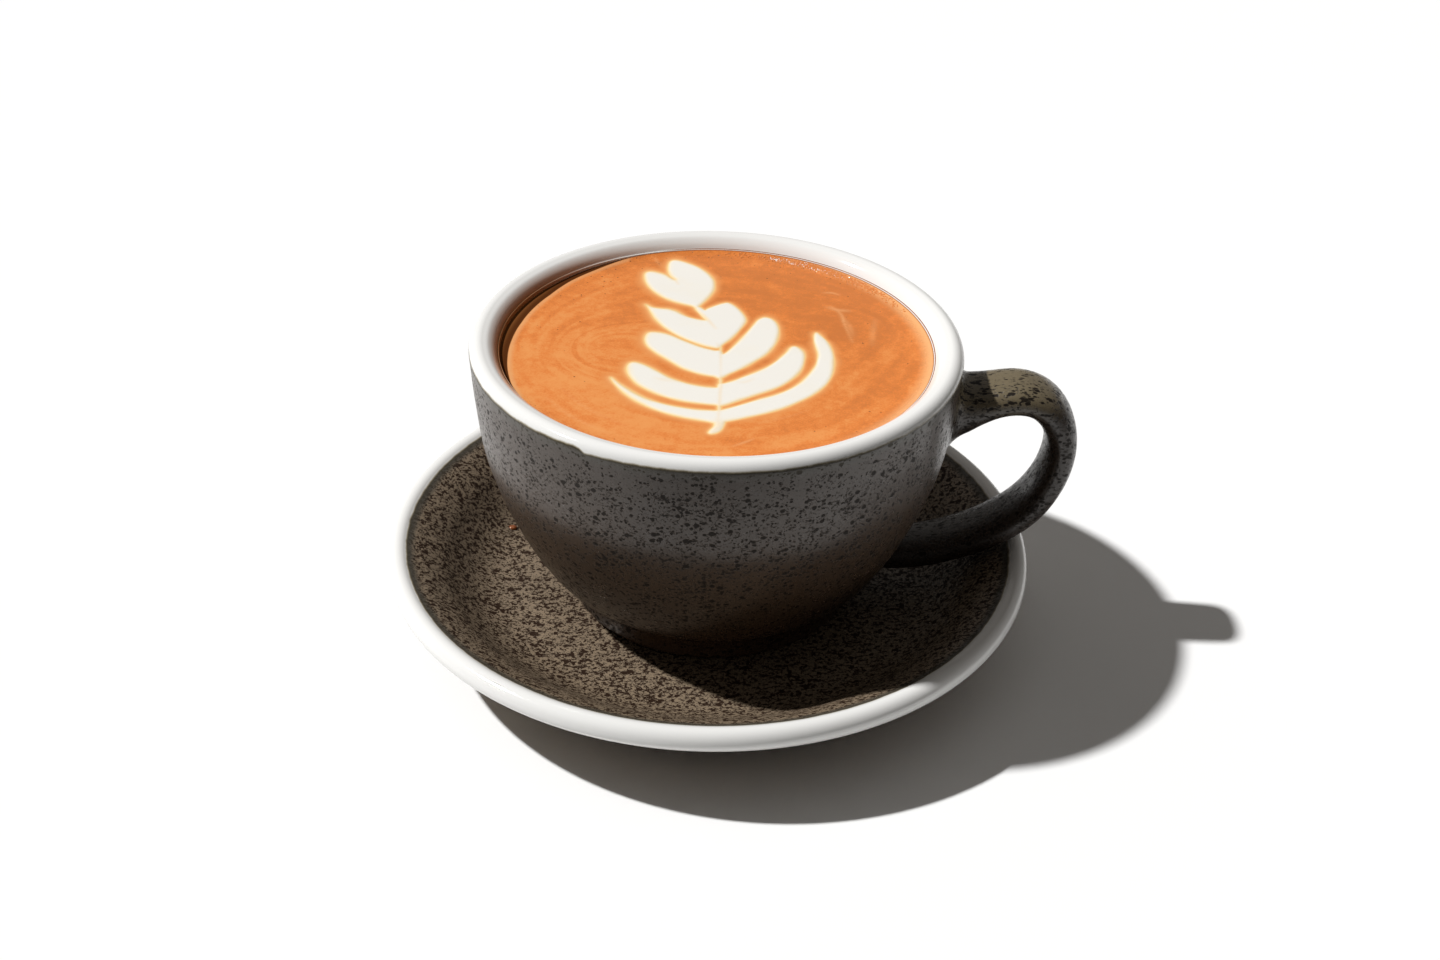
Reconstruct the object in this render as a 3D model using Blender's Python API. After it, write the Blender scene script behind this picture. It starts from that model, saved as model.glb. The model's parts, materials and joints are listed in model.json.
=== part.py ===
"""Latte with a poured leaf of milk foam, in a round-bellied stoneware cup on its saucer.

Metres, +Z up.  The saucer stands on the plane z = 0 and the cup's handle points along +X.
The origin is on that plane, under the middle of the whole set's length and width.
"""
import math

import bmesh
import bpy
from mathutils import Vector

# Turned pieces all have the same number of sides, so their walls stay parallel.
# Pieces that touch in the real set are kept apart by the gap.
SIDES = 64
WALL_STEPS_PER_SPAN = 2
LIP_STEPS = 5
BEAD_STEPS = 10
GAP = 0.0003
MERGE_DISTANCE = 1e-6
SHARP_EDGE = math.radians(35)

# Colour and roughness of each piece.
CUP_GLAZE = (0.055, 0.047, 0.038), 0.38
SAUCER_GLAZE = (0.10, 0.08, 0.055), 0.40
CREMA = (0.60, 0.24, 0.08), 0.30
MILK_FOAM = (0.93, 0.91, 0.86), 0.45

# Saucer: a flat well, a steep wall ring, and a round bead at the rim.
# All profile points are a radius from the piece's own axis and a height above the table.
SAUCER_RADIUS = 0.0757
BEAD_RADIUS = 0.0026
BEAD_CENTRE = (SAUCER_RADIUS - BEAD_RADIUS, 0.0195)
BEAD_ARC = (128, -118)
WELL_HEIGHT = 0.0075
WELL_RADIUS = 0.0400
SAUCER_TOP = ((0.0490, 0.0079), (0.0545, 0.0097), (0.0590, 0.0130),
              (0.0630, 0.0166), (0.0670, 0.0193), (0.0700, 0.0208))
SAUCER_UNDER = ((0.0700, 0.0158), (0.0660, 0.0130), (0.0620, 0.0093), (0.0570, 0.0056), (0.0520, 0.0038))
STAND_OUTSIDE = 0.0470
STAND_INSIDE = 0.0425
STAND_TOP = 0.0032
STAND_RECESS = 0.0024
STAND_ROUNDING = 0.0006

# Cup: it stands just clear of the well, slightly off the saucer's middle along X and Y.
CUP_OFFSET = (0.0008, 0.0018)
CUP_BASE = WELL_HEIGHT + GAP
RIM_RADIUS = 0.0554
RIM_HEIGHT = 0.0739
LIP_RADIUS = 0.0024
LIP_CENTRE = (RIM_RADIUS - LIP_RADIUS, RIM_HEIGHT - LIP_RADIUS)
LIP_ARC = (105, 0)
BELLY = ((0.0545, 0.0600), (0.0529, 0.0480), (0.0491, 0.0360),
         (0.0446, 0.0260), (0.0397, 0.0182), (0.0352, 0.0141))
FOOT_RADIUS = 0.0336
FOOT_TOP = 0.0130
FOOT_ROUNDING = 0.0010
FOOT_RING_INSIDE = 0.0275
FOOT_RECESS = 0.0024

# Inside of the cup up to the drink's level, then the slope of the lip above its waterline.
CUP_INSIDE = ((0.0170, 0.0158), (0.0290, 0.0184), (0.0374, 0.0260),
              (0.0430, 0.0360), (0.0467, 0.0480), (0.0480, 0.0600), (0.0486, 0.0700))
LIP_SLOPE = ((0.0499, 0.0724), (0.0511, 0.0734))
CUP_FLOOR = 0.0154

# Handle: a rounded band between an outer and an inner line, both in the plane y = 0.
# Each line runs from inside the wall below the rim, round the loop, to inside the wall above the foot.
HANDLE_OUTER = ((0.0510, 0.0642), (0.0600, 0.0645), (0.0700, 0.0652), (0.0772, 0.0623),
                (0.0820, 0.0562), (0.0836, 0.0480), (0.0820, 0.0388), (0.0772, 0.0296),
                (0.0693, 0.0227), (0.0592, 0.0178), (0.0480, 0.0147), (0.0340, 0.0140))
HANDLE_INNER = ((0.0510, 0.0475), (0.0570, 0.0519), (0.0640, 0.0565), (0.0702, 0.0574),
                (0.0745, 0.0541), (0.0765, 0.0480), (0.0751, 0.0399), (0.0710, 0.0331),
                (0.0648, 0.0279), (0.0570, 0.0238), (0.0480, 0.0213), (0.0385, 0.0210))
HANDLE_WIDTH = 0.0150
HANDLE_ROOT_WIDTH = 0.0185
HANDLE_FLARE = 0.16
HANDLE_SQUARENESS = 2.5
HANDLE_SECTION_SIDES = 16
HANDLE_STEPS_PER_SPAN = 2

# Drink: level in the middle, and drawn up the wall to where the slope of the lip begins.
DRINK_LEVEL = 0.0700
WATERLINE = 0.0712
DRINK_RADIUS = 0.0488
MENISCUS = ((0.0458, DRINK_LEVEL), (0.0470, 0.0702), (0.0479, 0.0706), (DRINK_RADIUS, WATERLINE))
FOAM_DEPTH = 0.0010

# Foam leaf, seen from above: points that each petal's outline curves through, in millimetres from the cup's axis.
# Where an outline turns sharply, its corner moves out by no more than the distance over the mitre limit.
MM = 0.001
MITRE_LIMIT = 0.5
PETAL_STEPS_PER_SPAN = 2
PETALS = {
    "heart": ((-12.5, 39.5), (-12, 43), (-10.5, 44), (-7.5, 42.7), (-4, 39.5), (-1.5, 34.5), (-1, 30),
              (-2.2, 25),
              (-4.5, 20), (-4.5, 18.7), (-6.5, 20.2), (-10.5, 22), (-14, 25), (-17, 30), (-18.2, 35),
              (-17, 37.8),
              (-14.5, 37.2), (-13, 36.3)),
    "neck": ((-4.5, 20), (-2.3, 17.3), (-1, 14.3), (-2.3, 12.7), (-4.3, 16.5), (-5.5, 19.5)),
    "crown": ((-17, 20.5), (-14.3, 18.8), (-11.3, 18.4), (-7.5, 15.3), (-3.5, 13.6), (-2.4, 14.7), (-3.2, 18),
              (-0.5, 21.2), (2.2, 22.6), (5, 19.3), (6.6, 14.5), (5, 9), (2.3, 3.2), (-0.2, 0.1), (-4.5, 2),
              (-9.5, 6), (-13.5, 11.2), (-16, 17)),
    "upper_left": ((1.4, -2), (-2.7, 0.1), (-8, 3.8), (-12, 6.5), (-15.5, 6.8), (-16.5, 3), (-14.5, -2),
              (-9.5, -7.5),
                   (-5, -11.2), (-1, -12.7), (1.2, -12.9)),
    "upper_right": ((0.4, -3.4), (1.7, -2.2), (2.8, -0.5), (5.5, 5.4), (8.5, 12.5), (10.5, 15.7),
              (12.8, 14.8), (14.2, 9.5),
                    (12.4, 0.4), (9, -5), (4.8, -9.8), (0.4, -13)),
    "middle_left": ((1.4, -17.5), (-0.5, -17.5), (-2.7, -17.2), (-7.8, -15.2), (-13.5, -10.4), (-17, -7.6),
              (-19.4, -8),
                    (-19.5, -12), (-16.5, -18), (-10, -22.7), (-4, -24.6), (1.2, -25)),
    "middle_right": ((0.4, -16.5), (2, -15.5), (4, -14.2), (8.7, -10.2), (13.1, -5.3), (16.4, 1.3),
              (18.4, 1.8), (19.9, -2.1),
                     (18.3, -10.4), (13.7, -16.8), (6.5, -22), (1.8, -25.2), (0.4, -25.2)),
    "outer_left": ((1.4, -27.3), (-1, -27.4), (-4, -27.1), (-10, -25.5), (-16, -22), (-21, -16.8),
              (-23, -14.4), (-22, -17.5),
                   (-18, -23.5), (-12.8, -27.8), (-6, -31), (-1.3, -32.2), (0.8, -32.9)),
    "outer_right": ((0.2, -27.6), (4, -25.5), (10, -21.8), (16, -17.3), (20, -11.5), (22.3, -5), (22, 4),
                    (22.8, 9.1), (25.3, 4), (26.4, -3), (24.7, -13.8), (21, -19.8), (15, -25.5), (8.5, -29.2),
                    (0.5, -32.9)),
    "stem": ((0.5, 3.2), (1.3, 2.6), (1.8, -8), (1.9, -16), (1.6, -32), (0.4, -32), (0.4, -16), (0.2, -8)),
    "tail": ((-0.3, -31.6), (2.2, -31.8), (1.8, -35), (-0.5, -37.1), (-1.2, -36.3), (-0.2, -33.5)),
}


def smooth_line(points, steps):
    """Points of a smooth line through all the given points."""
    ends = [2 * Vector(points[0]) - Vector(points[1]), 2 * Vector(points[-1]) - Vector(points[-2])]
    knots = [ends[0]] + [Vector(point) for point in points] + [ends[1]]
    line = []
    for a, b, c, d in zip(knots, knots[1:], knots[2:], knots[3:]):
        for step in range(steps):
            t = step / steps
            line.append(0.5 * (2 * b + (c - a) * t + (2 * a - 5 * b + 4 * c - d) * t ** 2
                               + (3 * b - a - 3 * c + d) * t ** 3))
    return line + [knots[-2]]


def closed_line(points, steps):
    """Corners of a smooth closed line through all the given points."""
    line = smooth_line(points[-2:] + points + points[:2], steps)
    return line[2 * steps:-steps - 1]


def arc(centre, radius, span, steps):
    """Points of an arc over a span from one angle to another, in degrees."""
    start, end = span
    angles = [math.radians(start + (end - start) * step / steps) for step in range(steps + 1)]
    return [(centre[0] + radius * math.cos(a), centre[1] + radius * math.sin(a)) for a in angles]


def finish(name, shape, glaze, place):
    """Turns a bmesh into a shaded object with a material of its own, from a colour and a roughness."""
    colour, roughness = glaze
    bmesh.ops.remove_doubles(shape, verts=shape.verts, dist=MERGE_DISTANCE)
    bmesh.ops.recalc_face_normals(shape, faces=shape.faces)
    mesh = bpy.data.meshes.new(name)
    shape.to_mesh(mesh)
    shape.free()
    mesh.shade_smooth()
    mesh.set_sharp_from_angle(angle=SHARP_EDGE)
    material = bpy.data.materials.new(name)
    material.use_nodes = True
    surface = material.node_tree.nodes["Principled BSDF"]
    surface.inputs["Base Color"].default_value = (*colour, 1.0)
    surface.inputs["Roughness"].default_value = roughness
    surface.inputs["Metallic"].default_value = 0.0
    mesh.materials.append(material)
    piece = bpy.data.objects.new(name, mesh)
    piece.location = place
    bpy.context.scene.collection.objects.link(piece)
    return piece


def turned(name, profile, glaze, place):
    """A solid turned about its axis, from a profile that starts and ends on that axis."""
    shape = bmesh.new()
    corners = [shape.verts.new((radius, 0.0, height)) for radius, height in profile]
    edges = [shape.edges.new(pair) for pair in zip(corners, corners[1:])]
    bmesh.ops.spin(shape, geom=corners + edges, cent=(0, 0, 0), axis=(0, 0, 1), angle=2 * math.pi,
                   steps=SIDES, use_merge=True)
    return finish(name, shape, glaze, place)


def as_tool(piece):
    """Keeps a piece as a hidden guide for a Boolean."""
    piece.hide_render = True
    piece.display_type = "WIRE"
    return piece


def combine(piece, operation, tool=None, tools=None):
    """Joins a tool, or a collection of them, to a piece or cuts it out."""
    boolean = piece.modifiers.new(operation.lower(), "BOOLEAN")
    boolean.operation = operation
    boolean.solver = "EXACT"
    if tools is None:
        boolean.object = tool
    else:
        boolean.operand_type = "COLLECTION"
        boolean.collection = tools


def handle_lines():
    """The handle's outer and inner lines, station by station."""
    return [smooth_line(line, HANDLE_STEPS_PER_SPAN) for line in (HANDLE_OUTER, HANDLE_INNER)]


def handle(place):
    """The band between the two lines, with rounded edges, that widens towards both roots."""
    outer, inner = handle_lines()
    shape = bmesh.new()
    rings = []
    for number, (far, near) in enumerate(zip(outer, inner)):
        along = number / (len(outer) - 1)
        root = max(0.0, 1.0 - min(along, 1.0 - along) / HANDLE_FLARE)
        half_width = 0.5 * (HANDLE_WIDTH + (HANDLE_ROOT_WIDTH - HANDLE_WIDTH) * root ** 2)
        ring = []
        for side in range(HANDLE_SECTION_SIDES):
            angle = 2 * math.pi * side / HANDLE_SECTION_SIDES
            across, out = (math.copysign(abs(part) ** (2 / HANDLE_SQUARENESS), part)
                           for part in (math.sin(angle), math.cos(angle)))
            point = (far + near) / 2 + (far - near) / 2 * out
            ring.append(shape.verts.new((point.x, across * half_width, point.y)))
        rings.append(ring)
    for ring, following in zip(rings, rings[1:]):
        for side in range(HANDLE_SECTION_SIDES):
            after = (side + 1) % HANDLE_SECTION_SIDES
            shape.faces.new((ring[side], ring[after], following[after], following[side]))
    shape.faces.new(rings[0])
    shape.faces.new(rings[-1])
    return as_tool(finish("handle_band", shape, CUP_GLAZE, place))


def cup(place):
    """The cup's body and handle, one solid."""
    waterline = (DRINK_RADIUS + GAP, WATERLINE)
    lip = arc(LIP_CENTRE, LIP_RADIUS, LIP_ARC, LIP_STEPS)
    inside = smooth_line(CUP_INSIDE + (waterline,) + LIP_SLOPE + (lip[0],), WALL_STEPS_PER_SPAN)
    outside = smooth_line((lip[-1],) + BELLY + ((FOOT_RADIUS, FOOT_TOP),), WALL_STEPS_PER_SPAN)
    foot = [(FOOT_RADIUS, CUP_BASE + FOOT_ROUNDING), (FOOT_RADIUS - FOOT_ROUNDING, CUP_BASE),
            (FOOT_RING_INSIDE, CUP_BASE), (FOOT_RING_INSIDE - FOOT_ROUNDING, CUP_BASE + FOOT_RECESS),
            (0.0, CUP_BASE + FOOT_RECESS)]
    profile = [(0.0, CUP_FLOOR)] + inside + lip[1:-1] + outside + foot
    body = turned("cup", profile, CUP_GLAZE, place)
    combine(body, "UNION", tool=handle(place))
    return body


def saucer(place):
    """The saucer with its standing ring."""
    bead = arc(BEAD_CENTRE, BEAD_RADIUS, BEAD_ARC, BEAD_STEPS)
    top = [(WELL_RADIUS, WELL_HEIGHT), *SAUCER_TOP, bead[0]]
    under = [bead[-1], *SAUCER_UNDER, (STAND_OUTSIDE, STAND_TOP)]
    stand = [(STAND_OUTSIDE - STAND_ROUNDING, 0.0), (STAND_INSIDE + STAND_ROUNDING, 0.0),
             (STAND_INSIDE, STAND_RECESS), (0.0, STAND_RECESS)]
    profile = [(0.0, WELL_HEIGHT)] + top + bead[1:-1] + under + stand
    return turned("saucer", profile, SAUCER_GLAZE, place)


def grown(outline, distance):
    """An outline's corners moved outwards by a distance."""
    turn = sum(here.x * after.y - after.x * here.y for here, after in zip(outline, outline[1:] + outline[:1]))
    outwards = math.copysign(1.0, turn)
    corners = []
    for before, here, after in zip(outline[-1:] + outline[:-1], outline, outline[1:] + outline[:1]):
        sides = [Vector((step.y, -step.x)).normalized() for step in (here - before, after - here)]
        middle = (sides[0] + sides[1]).normalized()
        corners.append(here + middle * outwards * distance / max(middle.dot(sides[0]), MITRE_LIMIT))
    return corners


def petal(name, outline, grow, floor, top, place):
    """One upright-sided petal, from its outline grown by a distance."""
    shape = bmesh.new()
    corners = grown([point * MM for point in closed_line(outline, PETAL_STEPS_PER_SPAN)], grow)
    face = shape.faces.new([shape.verts.new((point.x, point.y, floor)) for point in corners])
    raised = bmesh.ops.extrude_face_region(shape, geom=[face])
    walls = [part for part in raised["geom"] if isinstance(part, bmesh.types.BMVert)]
    bmesh.ops.translate(shape, verts=walls, vec=(0, 0, top - floor))
    return finish(name, shape, MILK_FOAM, place)


def leaf(name, grow, floor, top, place):
    """All the petals with the stem and the tail, as a list of pieces that overlap."""
    return [petal(name + "_" + label, outline, grow, floor, top, place) for label, outline in PETALS.items()]


def gathered(name, pieces):
    """Puts guides in a collection of their own."""
    group = bpy.data.collections.new(name)
    bpy.context.scene.collection.children.link(group)
    for piece in pieces:
        bpy.context.scene.collection.objects.unlink(piece)
        group.objects.link(as_tool(piece))
    return group


def drink(place):
    """The coffee up to its waterline, and the milk foam let into its surface."""
    waterline = (DRINK_RADIUS + GAP, WATERLINE)
    side = smooth_line(CUP_INSIDE + (waterline,), WALL_STEPS_PER_SPAN)[:-WALL_STEPS_PER_SPAN]
    below = [(radius - GAP, level + GAP) for radius, level in side]
    profile = [(0.0, CUP_FLOOR + GAP)] + below + list(MENISCUS[::-1]) + [(0.0, DRINK_LEVEL)]
    coffee = turned("coffee", profile, CREMA, place)
    floor = DRINK_LEVEL - FOAM_DEPTH
    pocket = gathered("pocket", leaf("pocket", GAP, floor - GAP, DRINK_LEVEL + FOAM_DEPTH, place))
    combine(coffee, "DIFFERENCE", tools=pocket)
    first, *others = leaf("foam", 0.0, floor, DRINK_LEVEL, place)
    first.name = "milk_rosetta"
    combine(first, "UNION", tools=gathered("petals", others))


def clear_scene():
    """Starts from an empty scene."""
    for piece in list(bpy.data.objects):
        bpy.data.objects.remove(piece, do_unlink=True)


def main():
    clear_scene()
    reach = CUP_OFFSET[0] + max(point.x for point in handle_lines()[0])
    saucer_axis = Vector(((SAUCER_RADIUS - reach) / 2, 0.0, 0.0))
    cup_axis = saucer_axis + Vector((*CUP_OFFSET, 0.0))
    saucer(saucer_axis)
    cup(cup_axis)
    drink(cup_axis)


main()
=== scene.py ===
"""Latte with a poured foam leaf, in a speckled stoneware cup on its saucer.

Metres, +Z up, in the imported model's own frame.  The cup's handle points along +X and
the light comes from -X.  Turned pieces are spun from a profile of radii and heights.
"""

import json
import math

import bmesh
import bpy
import numpy as np
from mathutils import Matrix, Vector
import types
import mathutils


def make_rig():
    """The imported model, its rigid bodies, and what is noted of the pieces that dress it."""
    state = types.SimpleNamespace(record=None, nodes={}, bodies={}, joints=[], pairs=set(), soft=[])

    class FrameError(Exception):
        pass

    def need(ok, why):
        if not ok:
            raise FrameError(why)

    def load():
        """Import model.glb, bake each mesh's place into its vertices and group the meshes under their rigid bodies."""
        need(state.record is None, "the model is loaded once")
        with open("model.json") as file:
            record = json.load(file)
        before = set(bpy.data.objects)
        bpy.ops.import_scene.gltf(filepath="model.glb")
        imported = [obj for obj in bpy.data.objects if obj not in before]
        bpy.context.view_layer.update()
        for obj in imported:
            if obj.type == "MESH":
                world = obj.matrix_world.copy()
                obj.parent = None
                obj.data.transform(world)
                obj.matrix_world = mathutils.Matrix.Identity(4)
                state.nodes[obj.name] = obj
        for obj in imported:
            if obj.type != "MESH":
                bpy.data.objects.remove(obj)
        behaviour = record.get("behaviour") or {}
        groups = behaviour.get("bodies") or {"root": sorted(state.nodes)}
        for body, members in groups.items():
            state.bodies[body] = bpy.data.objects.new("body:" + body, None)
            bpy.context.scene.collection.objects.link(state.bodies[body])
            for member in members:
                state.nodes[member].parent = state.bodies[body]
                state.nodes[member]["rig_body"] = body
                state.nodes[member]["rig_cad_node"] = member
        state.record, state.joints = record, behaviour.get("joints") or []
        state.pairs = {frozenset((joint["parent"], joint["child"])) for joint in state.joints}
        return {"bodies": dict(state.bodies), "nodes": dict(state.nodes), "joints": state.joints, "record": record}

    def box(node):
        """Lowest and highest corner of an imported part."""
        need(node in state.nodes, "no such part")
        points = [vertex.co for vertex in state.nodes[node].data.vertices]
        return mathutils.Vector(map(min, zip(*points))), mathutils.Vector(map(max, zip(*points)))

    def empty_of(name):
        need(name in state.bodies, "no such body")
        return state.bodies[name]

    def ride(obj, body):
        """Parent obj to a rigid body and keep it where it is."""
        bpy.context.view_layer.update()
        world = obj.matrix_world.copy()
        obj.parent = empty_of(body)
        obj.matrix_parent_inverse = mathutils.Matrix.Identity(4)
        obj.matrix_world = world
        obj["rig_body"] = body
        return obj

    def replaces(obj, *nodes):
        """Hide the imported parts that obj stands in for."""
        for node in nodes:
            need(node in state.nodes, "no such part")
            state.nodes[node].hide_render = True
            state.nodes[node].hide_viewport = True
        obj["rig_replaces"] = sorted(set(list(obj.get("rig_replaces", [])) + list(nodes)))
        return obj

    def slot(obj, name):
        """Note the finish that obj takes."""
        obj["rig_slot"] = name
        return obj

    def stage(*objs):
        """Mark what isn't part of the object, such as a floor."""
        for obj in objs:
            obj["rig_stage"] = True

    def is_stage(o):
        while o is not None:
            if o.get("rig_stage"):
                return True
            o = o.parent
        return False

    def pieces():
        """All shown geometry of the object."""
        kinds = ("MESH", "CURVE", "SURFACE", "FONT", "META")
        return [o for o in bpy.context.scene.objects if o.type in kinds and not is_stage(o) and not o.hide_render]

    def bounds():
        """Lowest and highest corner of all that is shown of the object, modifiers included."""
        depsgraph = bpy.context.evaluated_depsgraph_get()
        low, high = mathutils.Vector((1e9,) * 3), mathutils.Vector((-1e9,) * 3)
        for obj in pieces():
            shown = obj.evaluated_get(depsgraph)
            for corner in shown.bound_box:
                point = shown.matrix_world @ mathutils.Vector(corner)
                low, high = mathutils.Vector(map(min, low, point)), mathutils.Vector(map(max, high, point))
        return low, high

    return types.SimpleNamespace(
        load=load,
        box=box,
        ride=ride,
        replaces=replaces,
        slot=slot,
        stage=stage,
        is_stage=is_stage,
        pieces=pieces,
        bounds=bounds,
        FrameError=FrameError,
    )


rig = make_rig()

bl_info = {
    "name": "Latte in a Speckled Cup",
    "version": (1, 0, 0),
    "blender": (4, 5, 0),
    "location": "3D View > Sidebar > Latte",
    "description": "Builds a latte with a foam leaf in a speckled stoneware cup and saucer",
    "category": "Object",
}

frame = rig.load()
CAD_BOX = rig.bounds()

MM = 0.001
WHOLE_TURN = math.tau

# Places and main sizes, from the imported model.
CUP_LOW, CUP_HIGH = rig.box("cup")
COFFEE_LOW, COFFEE_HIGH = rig.box("coffee")
SAUCER_LOW, SAUCER_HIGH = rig.box("saucer")
CUP_AXIS = Vector(((COFFEE_LOW.x + COFFEE_HIGH.x) / 2, (COFFEE_LOW.y + COFFEE_HIGH.y) / 2, 0.0))
SAUCER_AXIS = Vector(((SAUCER_LOW.x + SAUCER_HIGH.x) / 2, (SAUCER_LOW.y + SAUCER_HIGH.y) / 2, 0.0))
CUP_BASE = CUP_LOW.z
RIM_RADIUS = CUP_HIGH.y - CUP_AXIS.y
RIM_HEIGHT = CUP_HIGH.z
DRINK_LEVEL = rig.box("milk_rosetta")[1].z
WATERLINE = COFFEE_HIGH.z
DRINK_RADIUS = COFFEE_HIGH.y - CUP_AXIS.y
SAUCER_RADIUS = SAUCER_HIGH.y - SAUCER_AXIS.y

# Cup: radii from its axis and heights.
LIP_RADIUS = 0.0024
LIP_CENTRE = (RIM_RADIUS - LIP_RADIUS, RIM_HEIGHT - LIP_RADIUS)
LIP_SLOPE = ((0.0499, 0.0724), (0.0511, 0.0734))
BELLY = ((0.0545, 0.0600), (0.0529, 0.0480), (0.0491, 0.0360),
         (0.0446, 0.0260), (0.0397, 0.0182), (0.0352, 0.0141))
FOOT_RADIUS = 0.0336
FOOT_TOP = 0.0130
FOOT_ROUNDING = 0.0010
FOOT_RING_INSIDE = 0.0275
FOOT_RECESS = 0.0024
CUP_INSIDE = ((0.0170, 0.0158), (0.0290, 0.0184), (0.0374, 0.0260),
              (0.0430, 0.0360), (0.0467, 0.0480), (0.0480, 0.0600), (0.0486, 0.0700))
CUP_FLOOR = 0.0154

# Handle: outer and inner guide lines in the plane of the handle, from below the rim to above the foot.
HANDLE_OUTER = ((0.0510, 0.0642), (0.0600, 0.0645), (0.0700, 0.0652), (0.0772, 0.0623),
                (0.0820, 0.0562), (0.0836, 0.0480), (0.0820, 0.0388), (0.0772, 0.0296),
                (0.0693, 0.0227), (0.0592, 0.0178), (0.0480, 0.0147), (0.0340, 0.0140))
HANDLE_INNER = ((0.0510, 0.0475), (0.0570, 0.0519), (0.0640, 0.0565), (0.0702, 0.0574),
                (0.0745, 0.0541), (0.0765, 0.0480), (0.0751, 0.0399), (0.0710, 0.0331),
                (0.0648, 0.0279), (0.0570, 0.0238), (0.0480, 0.0213), (0.0385, 0.0210))
HANDLE_SQUARENESS = 2.5

# Saucer: radii from its axis and heights.
BEAD_RADIUS = 0.0026
BEAD_CENTRE = (SAUCER_RADIUS - BEAD_RADIUS, 0.0195)
WELL_HEIGHT = 0.0075
WELL_RADIUS = 0.0400
SAUCER_WALL = ((0.0490, 0.0079), (0.0545, 0.0097), (0.0590, 0.0130),
               (0.0630, 0.0166), (0.0670, 0.0193), (0.0700, 0.0208))
SAUCER_UNDER = ((0.0700, 0.0158), (0.0660, 0.0130), (0.0620, 0.0093), (0.0570, 0.0056), (0.0520, 0.0038))
STAND_OUTSIDE = 0.0470
STAND_INSIDE = 0.0425
STAND_TOP = 0.0032
STAND_RECESS = 0.0024
STAND_ROUNDING = 0.0006

# Drink: how far it reaches into the wall and how wide its raised edge is; and the bearing where it climbs least.
WALL_OVERLAP = 0.45 * MM
COLLAR_REACH = 5.0 * MM
LOW_SIDE = 174.0

# Painted shadow of the lip on the drink: bearing from the cup's axis and the radius where the painted shadow ends, in
# millimetres.
LIP_SHADOW_EDGE = ((100, 60.0), (118, 48.6), (129, 47.7), (139, 47.2), (149, 46.3), (159, 46.1), (168, 46.0), (178, 46.3),
            (189, 46.9), (199, 47.7), (210, 48.7), (225, 60.0))

# Where a run in the white glaze ends, below the lip, in degrees round the cup.
DRIP_BEARING = -119.0

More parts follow.
